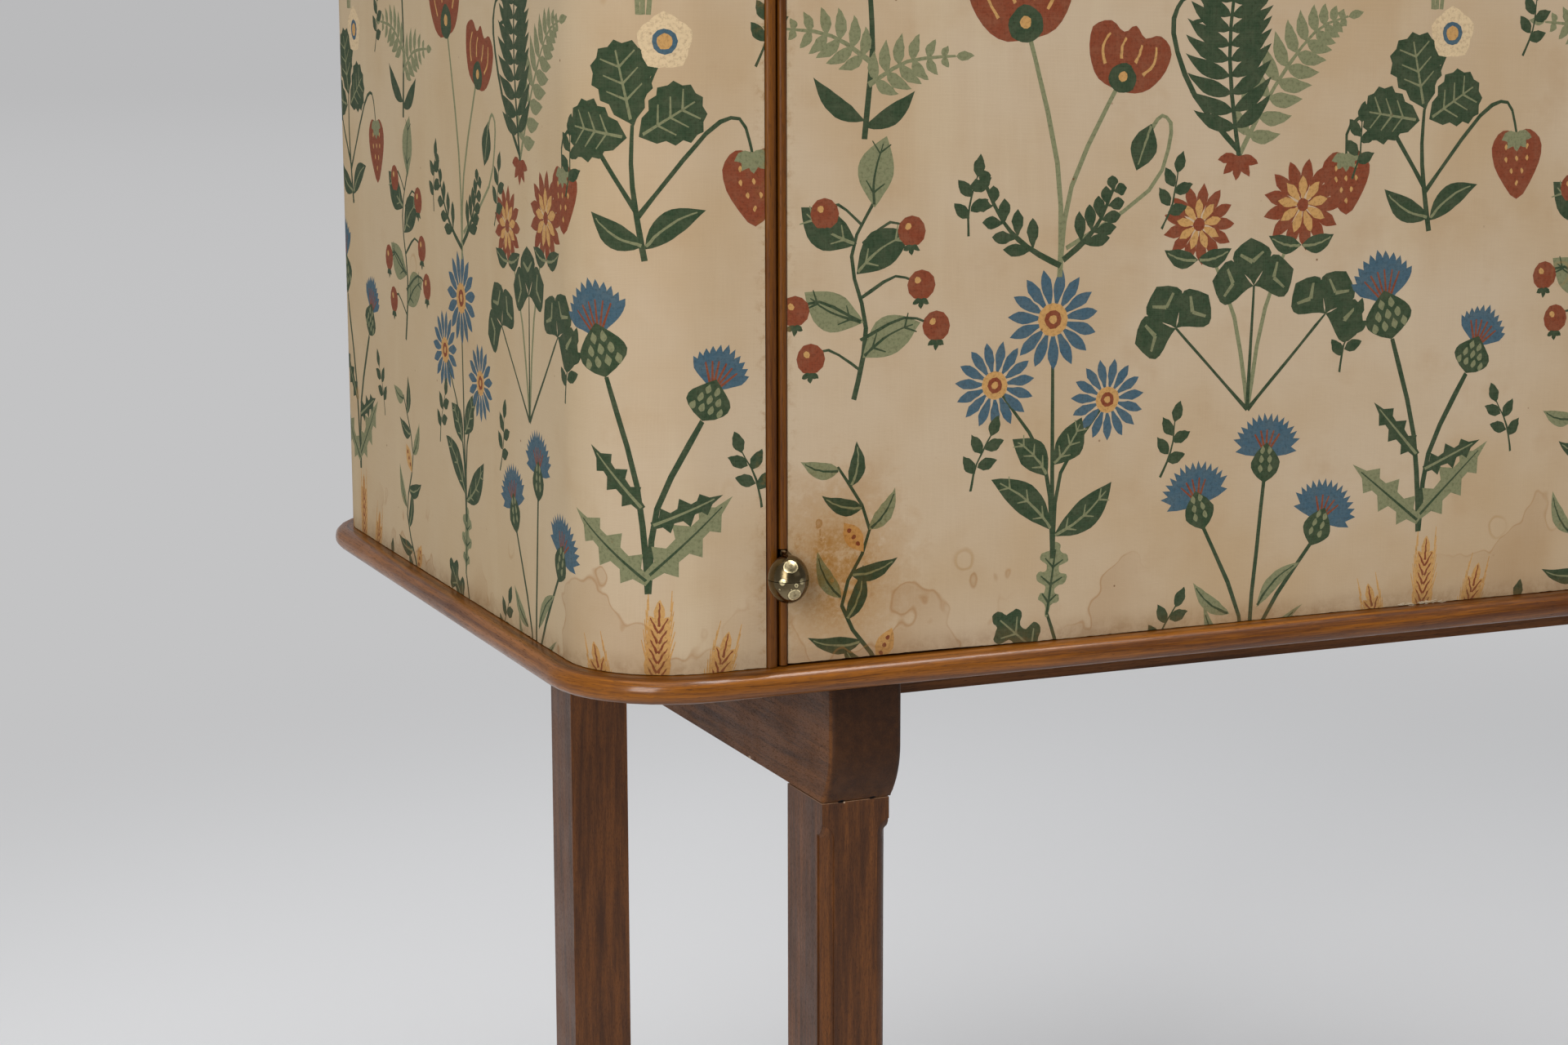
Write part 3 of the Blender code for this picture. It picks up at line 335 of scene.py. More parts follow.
def make_wood(
    name, along, colours, roughness=(0.3, 0.42), seed=0.0, coat=0.0, sway=0.010, fine=False, marks=()
):
    """Mahogany with its grain along X, Y, Z or the boards' edge: streaks, short pores in line, and marks."""
    material, n = new_material(name)
    dark, light, pore = colours
    position = n.position()
    x, y, z = n.parts(position)
    if along == "edge":
        grain = edge_run(n, position)
    else:
        grain = n.vector(*{"X": (y, z, x), "Y": (z, x, y), "Z": (x, y, z)}[along])
    grain = n.vector_math("ADD", grain, (seed, seed * 0.7, seed * 1.3))
    drift = n.streaks(grain, (2.5, 2.5, 3.5), output=1)
    bent = n.moved(grain, drift, (sway, sway, 0))
    broad = n.streaks(bent, (24, 24, 1.4))
    bands = n.streaks(bent, (230, 230, 12 if fine else 4.5), 4.0, 0.65)
    fibre = n.streaks(bent, (1800, 1800, 150 if fine else 60), 3.0, 0.6)
    flecks = n.streaks(bent, (3800, 3800, 480) if fine else (3000, 3000, 210), 1.0, 0.4)
    pores = n.ramp(flecks, 0.52, 0.66) if fine else n.ramp(flecks, 0.58, 0.72)
    tone = n.plus(n.plus(n.times(broad, 0.3), n.times(bands, 0.5)), n.times(fibre, 0.2))
    colour = n.mix(n.ramp(tone, 0.38, 0.62), dark, light)
    colour = n.mix(n.times(pores, 0.35 if fine else 0.45), colour, pore)
    if along != "edge":
        end_grain = n.absolute(n.parts(n.add("ShaderNodeTexCoord", "Normal"))["XYZ".index(along)])
        colour = n.mix(n.ramp(end_grain, 0.5, 0.9, 0.0, 0.75), colour, n.mix(fibre, pore, dark))
    # Each mark tints a spot of the wood: chips, or painted shade and painted highlights
    for centre, radii, tint in marks:
        away = n.stretched(n.vector_math("SUBTRACT", position, centre), [1 / r for r in radii])
        away = n.vector_math("LENGTH", away, output="Value")
        away = n.times_plus(n.noise(position, 900.0, 1.0), 0.8, away)
        colour = n.mix(n.fall(away, 1.1, 1.5), colour, tint)
    dull = n.ramp(n.noise(position, 35.0, 3.0), 0.3, 0.7, *roughness)
    waves = n.bump(n.noise(position, 55.0), 0.3 * MM, 0.15)
    bump = n.bump(n.minus(n.times(fibre, 0.2), pores), 0.05 * MM, 0.6, Normal=waves)
    shine = dict(Roughness=n.plus(dull, n.times(pores, 0.2)), Specular_IOR_Level=0.17)
    finish_material(n, bump, Base_Color=colour, Coat_Weight=coat, Coat_Roughness=0.14, **shine)
    return material


def make_brass():
    """Worn brass: cloudy, spotted brown, with pale ovals where the lacquer is left."""
    material, n = new_material("brass")
    position = n.position()
    drift = n.vector_math("SUBTRACT", n.noise(position, 250.0, output=1), (0.5,) * 3)
    uneven = n.moved(position, drift, (0.001,) * 3)
    cloud = n.noise(position, 110.0, 4.0, 0.6)
    patch = n.spots(uneven, 150.0)
    few = n.ramp(n.noise(position, 60.0, 1.0), 0.56, 0.66)
    pale = n.times(n.fall(patch, 0.22, 0.30), few)
    rim = n.times(n.ring(patch, 0.20, 0.27, 0.29, 0.36), few)
    low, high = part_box("lower_left_hinge_frame_half")
    egg = Vector(((low.x + high.x) / 2, low.y + EGG_RADIUS, low.z + LEAF_HEIGHT / 2))
    for offset, radius in EGG_PATCHES:
        away = n.distance(uneven, egg + Vector(offset) * MM)
        for middle, width, strength in ((radius * 0.6, radius * 0.5, 0.3), (radius - 0.3, 0.4, 1.0)):
            edge = n.absolute(n.minus(away, middle * MM))
            pale = n.larger(pale, n.fall(edge, width * 0.4 * MM, width * MM, strength))
        edge = n.absolute(n.minus(away, (radius + 0.2) * MM))
        rim = n.larger(rim, n.fall(edge, 0.05 * MM, 0.3 * MM, 0.9))
    specks = n.fall(n.spots(uneven, 620.0), 0.12, 0.22)
    specks = n.times(specks, n.ramp(n.noise(position, 160.0, 1.0), 0.45, 0.6))
    dots = n.times(n.ramp(n.noise(position, 1300.0), 0.5, 0.62), pale)
    colour = n.mix(n.ramp(cloud, 0.35, 0.7), "76694f", "5c5039")
    for share, strength, tint in (
        (rim, 0.7, "4a3d2a"), (pale, 0.85, "f0dfaf"), (dots, 0.6, "6c5c3e"), (specks, 0.7, "3d3120")
    ):
        colour = n.mix(n.times(share, strength), colour, tint)
    rough = n.plus(n.ramp(cloud, 0.3, 0.7, 0.10, 0.24), n.times(pale, 0.2))
    rough = n.plus(rough, n.times(specks, 0.25))
    scratches = n.streaks(uneven, (300, 300, 2600))
    bump = n.bump(n.plus(scratches, n.times(pale, 0.8)), 0.03 * MM, 0.4)
    finish_material(n, bump, Base_Color=colour, Metallic=1.0, Roughness=rough)
    return material


def make_steel():
    material, n = new_material("steel")
    position = n.position()
    brushed = n.streaks(position, (60, 2500, 2500))
    rust = n.ramp(n.noise(position, 90.0, 5.0, 0.7), 0.55, 0.72)
    colour = n.mix(n.times(rust, 0.5), n.mix(brushed, "8c8781", "b3aea6"), "5a3a22")
    rough = n.plus(n.ramp(brushed, 0.3, 0.7, 0.28, 0.42), n.times(rust, 0.3))
    finish_material(n, n.bump(brushed, 0.02 * MM, 0.4), Base_Color=colour, Metallic=1.0, Roughness=rough)
    return material


def make_cloth_material():
    """Plain-woven cloth, yellowed, foxed and water-stained, with the print's colours from the mesh."""
    material, n = new_material("printed_cloth")
    flat = n.add("ShaderNodeUVMap", settings={"uv_map": "cloth"})
    printed = n.tree.nodes.new("ShaderNodeVertexColor")
    printed.layer_name = "print"
    ink_share = printed.outputs["Alpha"]
    s, z, _ = n.parts(flat)
    height = n.minus(z, LOWER_EDGE)
    _, y, _ = n.parts(n.position())

    # The weave: crossed threads of uneven thickness
    threads = []
    for across, stretch in ((s, (1900, 45, 1)), (z, (45, 1900, 1))):
        sway = n.times(n.streaks(flat, (30, 30, 1)), 5.0)
        wave = n.math("SINE", n.times_plus(across, 2 * math.pi / (0.46 * MM), sway))
        threads.append(n.times_plus(wave, 0.5, n.times(n.streaks(flat, stretch, 2.0, 0.6), 1.6)))
    grain = n.ramp(n.larger(*threads), 0.5, 1.5)

    # Ground: mottled, with faint upright streaks, and yellower round the corner
    cloud = n.noise(flat, 6.0, 4.0, 0.55)
    blotch = n.noise(flat, 28.0, 4.0, 0.6)
    streaks = n.streaks(flat, (26, 4, 1), 3.0, 0.6)
    ground = n.mix(n.ramp(cloud, 0.36, 0.66), "b5a187", "ac9372")
    for share, tint in (
        (n.ramp(blotch, 0.5, 0.8, 0.0, 0.4), "a28562"),
        (n.ramp(streaks, 0.52, 0.72, 0.0, 0.35), "bdab8f"),
        (n.ramp(y, -0.215, -0.175, 0.0, 0.5), "b39e7c"),
    ):
        ground = n.mix(share, ground, tint)

    # Print, a little uneven, with the ground showing through the weave
    wash = n.ramp(n.noise(flat, 150.0, 3.0, 0.6), 0.35, 0.7, 0.0, 0.08)
    ink = n.mix(wash, printed.outputs["Color"], "8f8468")
    ink = n.mix(n.ramp(n.noise(flat, 650.0, 3.0, 0.7), 0.45, 0.7, 0.0, 0.35), ink, "6f6458", "MULTIPLY")
    ink = n.mix(n.ramp(grain, 0.55, 1.0, 0.0, 0.05), ink, ground)
    colour = n.mix(ink_share, ground, ink)

    # Age: rings and drips with brown rims, rust specks
    bent = n.moved(flat, n.noise(flat, 60.0, output=1), (0.006, 0.006, 0))
    rings = n.ring(n.spots(bent, 19.0), 0.085, 0.098, 0.102, 0.125)
    rings = n.times(rings, n.ramp(n.noise(flat, 12.0, 1.0), 0.52, 0.62))
    drips = n.ring(n.spots(n.stretched(bent, (34, 9, 1)), 1.0), 0.09, 0.11, 0.115, 0.15)
    drips = n.times(drips, n.ramp(n.noise(flat, 7.0, 1.0), 0.54, 0.64))
    specks = n.times(n.fall(n.spots(flat, 75.0), 0.03, 0.055), n.ramp(n.noise(flat, 16.0), 0.50, 0.62))

    # Damp: brown blooms, darkest in the middle where no ink is, and drips
    mottle = n.noise(bent, 130.0, 6.0, 0.75)
    bloom = n.ramp(n.noise(bent, 9.0, 3.0), 0.62, 0.8, 0.0, 0.3)
    for centre, half, strength in BLOOMS:
        away = n.times_plus(n.minus(mottle, 0.5), 1.8, n.reach(s, z, centre, half))
        bloom = n.larger(bloom, n.fall(away, 0.15, 1.2, strength))
    speckle = n.ramp(n.noise(flat, 420.0, 4.0, 0.7), 0.3, 0.65, 0.75, 1.0)
    bloom = n.times(n.times(bloom, n.ramp(mottle, 0.35, 0.62, 0.5, 1.0)), speckle)
    colour = n.mix(bloom, colour, "d3a94d", "MULTIPLY")
    bare = n.times_plus(ink_share, -0.8, 1.0)
    colour = n.mix(n.times(n.ramp(bloom, 0.4, 0.9, 0.0, 0.6), bare), colour, "8a5d27")
    for centre, half in DRIPS:
        away = n.reach(s, z, centre, half)
        away = n.times_plus(n.minus(n.noise(flat, 900.0), 0.5), 1.2, away)
        edge = n.times_plus(n.ramp(away, 0.3, 0.9), 0.35, 0.45)
        colour = n.mix(n.times(n.fall(away, 0.95, 1.15), edge), colour, "8a5f2c")

    # Water marks that rose from the lower edge: thin brown rims round slightly darker cloth
    rise = n.times_plus(height, -5.5, 0.42)
    level = n.plus(n.streaks(bent, (20, 15, 1), 3.0, 0.55), rise)
    rim = n.math("SUBTRACT", 1.0, n.math("DIVIDE", n.absolute(n.minus(level, 0.815)), 0.009), clamp=True)
    marked = n.ramp(n.noise(flat, 8.0), 0.46, 0.58)
    wet = n.times(n.ramp(level, 0.80, 0.83), marked)
    colour = n.mix(n.times(wet, 0.22), colour, "c9a676", "MULTIPLY")

    # Soil along the lower edge and beside the strips
    soil = n.times(n.fall(height, 0.0, 0.012), n.ramp(mottle, 0.35, 0.65, 0.1, 0.6))
    beside = n.fall(n.absolute(n.minus(n.absolute(s), STRIP_PLACE)), 3.0 * MM, 12 * MM)
    beside = n.times(beside, n.ramp(n.noise(flat, 210.0, 5.0, 0.75), 0.48, 0.68))
    for share, strength, tint in (
        (n.times(rim, marked), 0.55, "8d6233"), (rings, 0.40, "95703f"), (drips, 0.28, "98733f"),
        (specks, 0.8, "5e371a"), (soil, 0.7, "77552f"), (beside, 0.6, "86602f"),
    ):
        colour = n.mix(n.times(share, strength), colour, tint)
    colour = n.mix(n.fall(grain, 0.0, 1.0, 0.11), colour, "a38f72", "MULTIPLY")
    bump = n.bump(n.plus(grain, n.times(n.noise(flat, 45.0), 2.0)), 0.09 * MM, 0.4)
    finish_material(n, bump, Base_Color=colour, Roughness=0.9, Specular_IOR_Level=0.12, Sheen_Weight=0.02)
    return material


def make_thread_material():
    material, n = new_material("thread")
    worn = n.noise(n.position(), 900.0)
    finish_material(n, Base_Color=n.mix(worn, "d9cdb4", "a8977a"), Roughness=0.9)
    return material


# The print's shapes, in millimetres

GREEN, SAGE, RED = map(linear, ("2d3f2a", "757757", "783a23"))
BLUE, OCHRE, CREAM = map(linear, ("3b5664", "b68b53", "c8b08c"))
VEIN = {GREEN: SAGE, SAGE: GREEN}  # the veins of leaves in each green
FULLNESS = 1.1  # of the green leaves
UP = math.pi / 2


def turned(points, at, angle, size=1.0, flip=1):
    c, s = math.cos(angle) * size, math.sin(angle) * size
    return [(at[0] + flip * (x * c - y * s), at[1] + x * s + y * c) for x, y in points]


def spot(point, at, angle, size=1.0):
    return turned([point], at, angle, size)[0]


def off(at, angle, reach):
    """The place this far from at, in the direction of the angle."""
    return at[0] + reach * math.cos(angle), at[1] + reach * math.sin(angle)


def fan(middle, count, step):
    """Angles spread evenly about the middle one."""
    return [middle + (i - (count - 1) / 2) * step for i in range(count)]


def mirrored(half):
    """The whole outline whose one side of the X axis this is."""
    return [*half, *((x, -y) for x, y in reversed(half) if y)]


def on_leaf(length, bend, t):
    """The place on the middle line of a leaf along X, at the share t of its length."""
    return length * t, bend * length * 4 * t * (1 - t)


def smooth(points, closed=False, steps=3):
    """Points on a curve through these."""
    if len(points) == 2:
        return points
    p = [np.array(point, float) for point in points]
    p = [p[-1], *p, p[0], p[1]] if closed else [p[0], *p, p[-1]]
    found = []
    for a, b, c, d in zip(p, p[1:], p[2:], p[3:]):
        square, cube = 2 * a - 5 * b + 4 * c - d, 3 * b - a - 3 * c + d
        for t in np.linspace(0, 1, steps, endpoint=False):
            found.append(0.5 * (2 * b + (c - a) * t + square * t**2 + cube * t**3))
    return found if closed else [*found, p[-2]]


def blade(length, width, bend, full):
    """A leaf's outline from (0, 0) along X, widest at the share full of its length."""
    t = np.linspace(0, 1, 6 + round(min(6, length / 5)))
    half = width / 2 * np.sin(np.pi * t ** (math.log(0.5) / math.log(full)))
    x, middle = on_leaf(length, bend, t)
    return [*zip(x, middle + half), *list(zip(x, middle - half))[-2:0:-1]]


class Motif:
    """One plant of the print: its shapes in the order they're laid, each a colour and an outline."""

    def __init__(self, draw):
        self.shapes = []
        draw(self)

    def fill(self, colour, outline):
        self.shapes.append((colour, outline))

    def shape(self, colour, points, at, angle, size=1.0):
        self.fill(colour, turned(smooth(points, closed=True), at, angle, size))

    def disc(self, colour, at, radius, points=12):
        self.fill(colour, [off(at, 2 * math.pi * i / points, radius) for i in range(points)])

    def stroke(self, colour, points, width, tip=0.55):
        """A line that thins to its end."""
        path = np.array(smooth(points))
        run = np.gradient(path, axis=0)
        run /= np.linalg.norm(run, axis=1)[:, None] + 1e-9
        side = np.stack([-run[:, 1], run[:, 0]], 1) * np.linspace(width, width * tip, len(path))[:, None] / 2
        self.fill(colour, [*(path + side), *(path - side)[::-1]])

    def stem(self, colour, x, y, width, tip=0.55, bow=(0.2, 0.5)):
        """A stem from (0, 0) to (x, y) through this share of both."""
        self.stroke(colour, [(0, 0), (x * bow[0], y * bow[1]), (x, y)], width, tip)

    def leaf(self, colour, at, angle, length, width, bend=0.0, full=0.45, vein=None, ribs=0):
        width *= FULLNESS if colour in VEIN else 1
        self.fill(colour, turned(blade(length, width, bend, full), at, angle))
        if vein:
            line = [on_leaf(length, bend, t) for t in (0.04, 0.3, 0.6, 0.88)]
            self.stroke(vein, turned(line, at, angle), 1.1, 0.4)
        for i in range(ribs):
            x, y = on_leaf(length, bend, 0.2 + 0.55 * i / (ribs - 1))
            for side in (-1, 1):
                rib = [(x, y), (x + width * 0.26, y + side * width * 0.27)]
                self.stroke(vein, turned(rib, at, angle), 0.8, 0.5)

    def rosette(self, colour, at, count, length, width, start=0.0, full=0.6, inner=0.0, sweep=2 * math.pi):
        for i in range(count):
            angle = start + sweep * i / count
            self.leaf(colour, off(at, angle, inner), angle, length, width, full=full)

    def frond(self, colour, line, count, length, width):
        path = np.array(smooth(line, steps=8))
        end = len(path) - 1
        self.stroke(colour, line, 2.0, 0.4)
        for i in range(count):
            t = 0.12 + 0.86 * i / count
            k, share = int(t * end), t * end % 1
            at = path[k] + (path[min(end, k + 1)] - path[k]) * share
            run = path[min(end, k + 2)] - path[max(0, k - 1)]
            angle = math.atan2(run[1], run[0])
            size = math.sin(math.pi * (0.18 + 0.8 * t) ** 0.8)
            for side in (-1, 1):
                sizes = length * size, width * (0.45 + 0.55 * size)
                self.leaf(colour, at, angle + side * 1.05, *sizes, side * 0.06, 0.4)
        self.leaf(colour, path[-1], angle, 7, 3)


def cornflower(m):
    floret = mirrored([(0, -1.4), (9, -4.8), (14, -6.0), (12.5, -3), (18, -1.8), (15, 0)])
    for x, y, lean in ((-24, 74, 0.3), (27, 66, -0.35), (3, 92, 0.0)):
        m.stem(GREEN, x, y, 2.0, 0.8)
        up = UP + lean
        crown, foot = off((x, y), up, 9), off((x, y), up, -2)
        for ray in fan(up, 7, 0.36):
            m.fill(BLUE, turned(floret, crown, ray, 0.92))
        for ray in fan(up, 5, 0.3):
            m.stroke(RED, [crown, off(crown, ray, 10)], 1.3, 0.5)
        m.leaf(GREEN, foot, up, 16, 12)
        for i in range(3):
            for side in (-1, 1):
                m.leaf(SAGE, spot((4 + 3.6 * i, side * (2.2 - 0.3 * i)), foot, up), up, 3.4, 1.9)
    for at, angle, length in (
        ((1, 12), 2.2, 38), ((1, 8), 0.95, 40), ((3, 40), 0.75, 26), ((-9, 38), 2.5, 22)
    ):
        m.leaf(SAGE, at, angle, length, 5.5, 0.1, vein=GREEN)


def poppy(m):
    cup = [(0, -7), (-11, -5), (-18, 4), (-20, 15), (-12, 20), (-5, 17)]
    cup += [(0, 21), (6, 17), (13, 20), (20, 14), (18, 3), (11, -5)]
    folds = (
        ((-10, 2), (-13, 9), (-11, 15)), ((9, 2), (13, 8), (12, 15)),
        ((-3, 6), (-4, 11), (-3, 15)), ((4, 6), (5, 10), (5, 14)),
    )
    for x, y, lean, size in ((-17, 88, 0.18, 1.0), (22, 70, -0.25, 0.82)):
        place = (x, y), lean, size
        m.stem(SAGE, x, y, 2.0, 0.85, (0.15, 0.45))
        m.shape(RED, cup, *place)
        for fold in folds:
            m.stroke(OCHRE, turned(fold, *place), 1.2, 0.6)
        m.shape(GREEN, [(-6, -5), (-6, 1), (0, 5), (6, 1), (6, -5), (0, -8)], *place)
        m.disc(OCHRE, spot((0, -1), *place), 2.2 * size, points=10)
    m.stroke(SAGE, [(2, 10), (34, 30), (42, 50), (38, 56), (33, 50)], 1.7, 0.8)
    m.leaf(GREEN, (34, 53), -1.9, 17, 9.5, full=0.5, vein=SAGE)
    for at, angle, length, bend in (((0, 4), 2.35, 46, 0.12), ((1, 6), 0.95, 34, -0.1)):
        line = [on_leaf(length, bend, t) for t in (0, 0.3, 0.6, 1)]
        m.stroke(GREEN, turned(line, at, angle), 2.2, 0.5)
        for i in range(5):
            root = spot(on_leaf(length, bend, 0.25 + 0.16 * i), at, angle)
            for side in (-1, 1):
                m.leaf(GREEN, root, angle + side * 0.75, 11.5 - 1.5 * i, 4.2, full=0.6)


def strawberry(m):
    for line, width in (
        ([(0, 0), (-3, 24), (-2, 44)], 2.2), ([(-2, 14), (22, 40), (34, 44), (38, 33)], 1.7),
        ([(-2, 16), (-20, 42), (-33, 40), (-35, 30)], 1.7), ([(-2, 44), (6, 60), (9, 66)], 1.5),
    ):
        m.stroke(GREEN, line, width)
    teeth = mirrored([
        (0, 0), (5, 6), (9, 7), (11, 10.5), (15, 10.5), (17, 13), (21, 11.5), (24, 12), (26, 8.5), (29, 7),
        (29, 3), (31, 0),
    ])
    for place in (((-2, 44), 1.75, 0.9), ((-4, 40), 2.95, 0.8), ((0, 40), 0.5, 0.8)):
        m.fill(GREEN, turned(teeth, *place))
        m.stroke(SAGE, turned([(2, 0), (27, 0)], *place), 1.0)
        for t in (9, 15, 21):
            for side in (-1, 1):
                m.stroke(SAGE, turned([(t, 0), (t + 4.5, side * 7)], *place), 0.8)
    berry = [(0, -24), (-8, -15), (-11, -5), (-6, 1), (0, 0), (6, 1), (11, -5), (8, -15)]
    for x, y, size in ((38, 33, 1.0), (-35, 30, 0.9)):
        m.shape(RED, berry, (x, y), 0.0, size)
        for row, count in enumerate((3, 3, 2, 1)):
            for dx in fan(0, count, 4.6):
                m.leaf(OCHRE, (x + dx * size, y + (-4 - 4.4 * row) * size), -1.57, 2.2, 1.3)
        m.rosette(SAGE, (x, y), 5, 7 * size, 3.4 * size, -2.8, 0.5, sweep=3.1)
    m.rosette(CREAM, (10, 70), 5, 9.5, 9.5, 0.3, 0.65)
    m.disc(BLUE, (10, 70), 4.2)
    m.disc(OCHRE, (10, 70), 2.6)
    m.leaf(GREEN, (0, 5), 2.6, 22, 8, 0.1, vein=SAGE)
    m.leaf(GREEN, (0, 4), 0.5, 24, 8, 0.1, vein=SAGE)


def wheat(m):
    for x, y, lean in ((-21, 80, 0.22), (19, 74, -0.26), (0, 92, 0.02)):
        m.stroke(SAGE, [(x * 0.1, 0), (x * 0.3, y * 0.5), (x, y)], 1.9, 0.7)
        up = UP + lean
        for i in range(6):
            root = spot((3.9 * i, 0), (x, y), up)
            for side in (-1, 1):
                m.leaf(OCHRE, root, up + side * 0.5, 10.5 - 0.5 * i, 4.4, full=0.5, vein=RED)
                awn = turned([(3.9 * i + 9, side * 4.4), (3.9 * i + 17, side * (6.5 - 0.4 * i))], (x, y), up)
                m.stroke(OCHRE, awn, 0.8, 0.4)
        m.leaf(OCHRE, spot((22, 0), (x, y), up), up, 11, 4.4, full=0.5, vein=RED)
    for at, angle, length, bend in (
        ((0, 10), 2.15, 50, 0.14), ((1, 16), 1.0, 46, -0.14), ((0, 4), 0.6, 34, 0.12)
    ):
        m.leaf(SAGE, at, angle, length, 6.0, bend, full=0.4)


def fern(m):
    m.frond(SAGE, [(0, 0), (14, 26), (30, 46), (44, 52)], 11, 15, 5.2)
    m.frond(GREEN, [(0, 0), (-6, 36), (-4, 70), (6, 98)], 17, 21, 5.4)
    m.stroke(GREEN, [(0, 2), (-20, 22), (-30, 44), (-27, 56), (-19, 57), (-17, 50), (-22, 48)], 2.2, 0.7)
    m.rosette(RED, (0, 0), 5, 9, 4, -3.0, 0.5, sweep=3.4)


def clover(m):
    for x, y, size in ((-22, 66, 0.95), (20, 72, 1.1)):
        m.stem(SAGE, x, y, 1.9, bow=(0.3, 0.5))
        m.rosette(RED, (x, y), 13, 13 * size, 4.6 * size, inner=2)
        m.rosette(OCHRE, (x, y), 9, 8.5 * size, 3.2 * size, 0.2, inner=1)
        m.disc(RED, (x, y), 2.4, points=10)
        for side in (-1, 1):
            m.leaf(GREEN, (x, y - 13 * size), UP + side * 1.3, 14, 6, side * 0.1, vein=SAGE)
    for x, y, turn in ((-30, 30, 0.5), (1, 44, 0.1), (31, 33, -0.5)):
        m.stem(GREEN, x, y, 1.6, bow=(0.5, 0.5))
        for angle in fan(UP + turn, 3, 1.35):
            m.leaf(GREEN, (x, y), angle, 17, 14.5, full=0.62)
            for side in (-1, 1):
                m.stroke(SAGE, turned([(8.5, 0), (11.5, side * 4.8)], (x, y), angle), 1.5, 0.6)


def oak(m):
    m.stroke(GREEN, [(0, 0), (4, 30), (-2, 58), (4, 84)], 2.4, 0.6)
    lobes = [(0, 1), (7, 2), (10, 7), (14, 6.5), (15, 3.5), (19, 4), (22, 10), (27, 10), (28, 5), (32, 4.5)]
    lobes = mirrored([*lobes, (35, 9.5), (39, 9), (41, 4), (45, 3), (47, 0)])
    for body, *place in (
        (SAGE, (4, 22), 2.5, 0.9), (GREEN, (4, 30), 0.55, 0.95), (SAGE, (0, 50), 2.75, 0.75),
        (GREEN, (-1, 60), 0.75, 0.8), (SAGE, (4, 82), 1.75, 0.62),
    ):
        m.shape(body, lobes, *place)
        m.stroke(VEIN[body], turned([(1, 0), (42, 0)], *place), 1.2)
        for x, y in ((14, 5), (25, 7.5), (36, 6.5)):
            for side in (-1, 1):
                m.stroke(VEIN[body], turned([(x - 5, 0), (x, side * y)], *place), 0.9)
    for x, y, lean in ((-26, 6, 0.2), (24, 8, -0.3)):
        m.stroke(GREEN, [(3, 16), (x * 0.6, y + 22), (x, y + 15)], 1.6)
        m.leaf(OCHRE, (x, y + 12), -UP + lean, 19, 13, full=0.5)
        m.shape(RED, [(-8, 2), (-6, 6), (0, 8), (6, 6), (8, 2), (0, -1)], (x, y + 8), lean)


def thistle(m):
    for x, y, lean, size in ((-13, 76, 0.2, 1.0), (21, 60, -0.4, 0.8)):
        m.stem(GREEN, x, y, 2.4, 0.8)
        up = UP + lean
        top = spot((13 * size, 0), (x, y), up)
        for i, ray in enumerate(fan(up, 11, 0.17)):
            m.leaf(BLUE, top, ray, (22 - abs(i - 5) * 0.7) * size, 4.2 * size, full=0.7)
        for ray in fan(up, 6, 0.24):
            m.stroke(RED, [top, off(top, ray, 14 * size)], 1.2, 0.5)
        m.leaf(GREEN, (x, y), up, 19 * size, 19 * size)
        for row in range(3):
            for across in fan(0, 4 - row, 4.4):
                root = spot(((3.5 + 4.2 * row) * size, across * size), (x, y), up)
                m.leaf(SAGE, root, up, 4.2 * size, 2.6 * size)
    spiky = [
        (0, 2), (6, 3), (9, 8), (13, 3.5), (18, 4), (21, 9), (26, 3.5), (30, 3.5), (33, 7), (38, 2), (46, 0)
    ]
    for body, *place in (
        (SAGE, (0, 4), 2.45, 0.85), (SAGE, (0, 6), 0.7, 0.9),
        (GREEN, (-1, 30), 2.3, 0.65), (GREEN, (2, 24), 0.35, 0.6),
    ):
        m.fill(body, turned(mirrored(spiky), *place))
        m.stroke(VEIN[body], turned([(1, 0), (40, 0)], *place), 1.2, 0.4)


def willow(m):
    line = [(0, 0), (-10, 26), (8, 56), (-4, 86), (10, 112)]
    path = np.array(smooth(line, steps=10))
    m.stroke(GREEN, line, 2.2, 0.5)
    for i in range(13):
        k = min(3 + i * 3, len(path) - 2)
        at, run = path[k], path[k + 1] - path[k]
        side = 1 if i % 2 else -1
        angle = math.atan2(run[1], run[0]) + side * 0.75
        if i % 5 == 3:
            angle += side * 0.3
            m.leaf(OCHRE, at, angle, 15, 8, full=0.5)
            for j in range(3):
                m.disc(RED, spot((4 + 3.4 * j, 0), at, angle), 1.0, points=8)
        else:
            body = GREEN if i % 3 else SAGE
            m.leaf(body, at, angle, 27 - i * 0.8, 6.4, side * 0.1, 0.4, VEIN[body])


def umbel(m):
    m.stroke(GREEN, [(0, 0), (2, 30), (0, 52)], 2.2, 0.8)
    for i, ray in enumerate(fan(UP, 5, 0.42)):
        tip = off((0, 52), ray, 34)
        m.stroke(GREEN, [(0, 52), (15 * math.cos(ray) * 0.9, 52 + 17 * math.sin(ray)), tip], 1.4, 0.7)
        for j, spoke in enumerate(fan(ray, 5, 0.5)):
            end = off(tip, spoke, 9)
            m.stroke(GREEN, [tip, end], 0.9)
            m.disc(BLUE if (i + j) % 2 else OCHRE, end, 2.9, points=10)
            m.disc(CREAM, end, 1.0, points=7)
    for at, side in (((1, 18), 1), ((1, 26), -1)):
        m.frond(SAGE, [at, (at[0] + side * 14, at[1] + 8), (at[0] + side * 32, at[1] + 10)], 6, 11, 4)
    m.leaf(GREEN, (0, 6), 2.5, 24, 6, 0.1)
    m.leaf(GREEN, (0, 4), 0.6, 22, 6, -0.1)


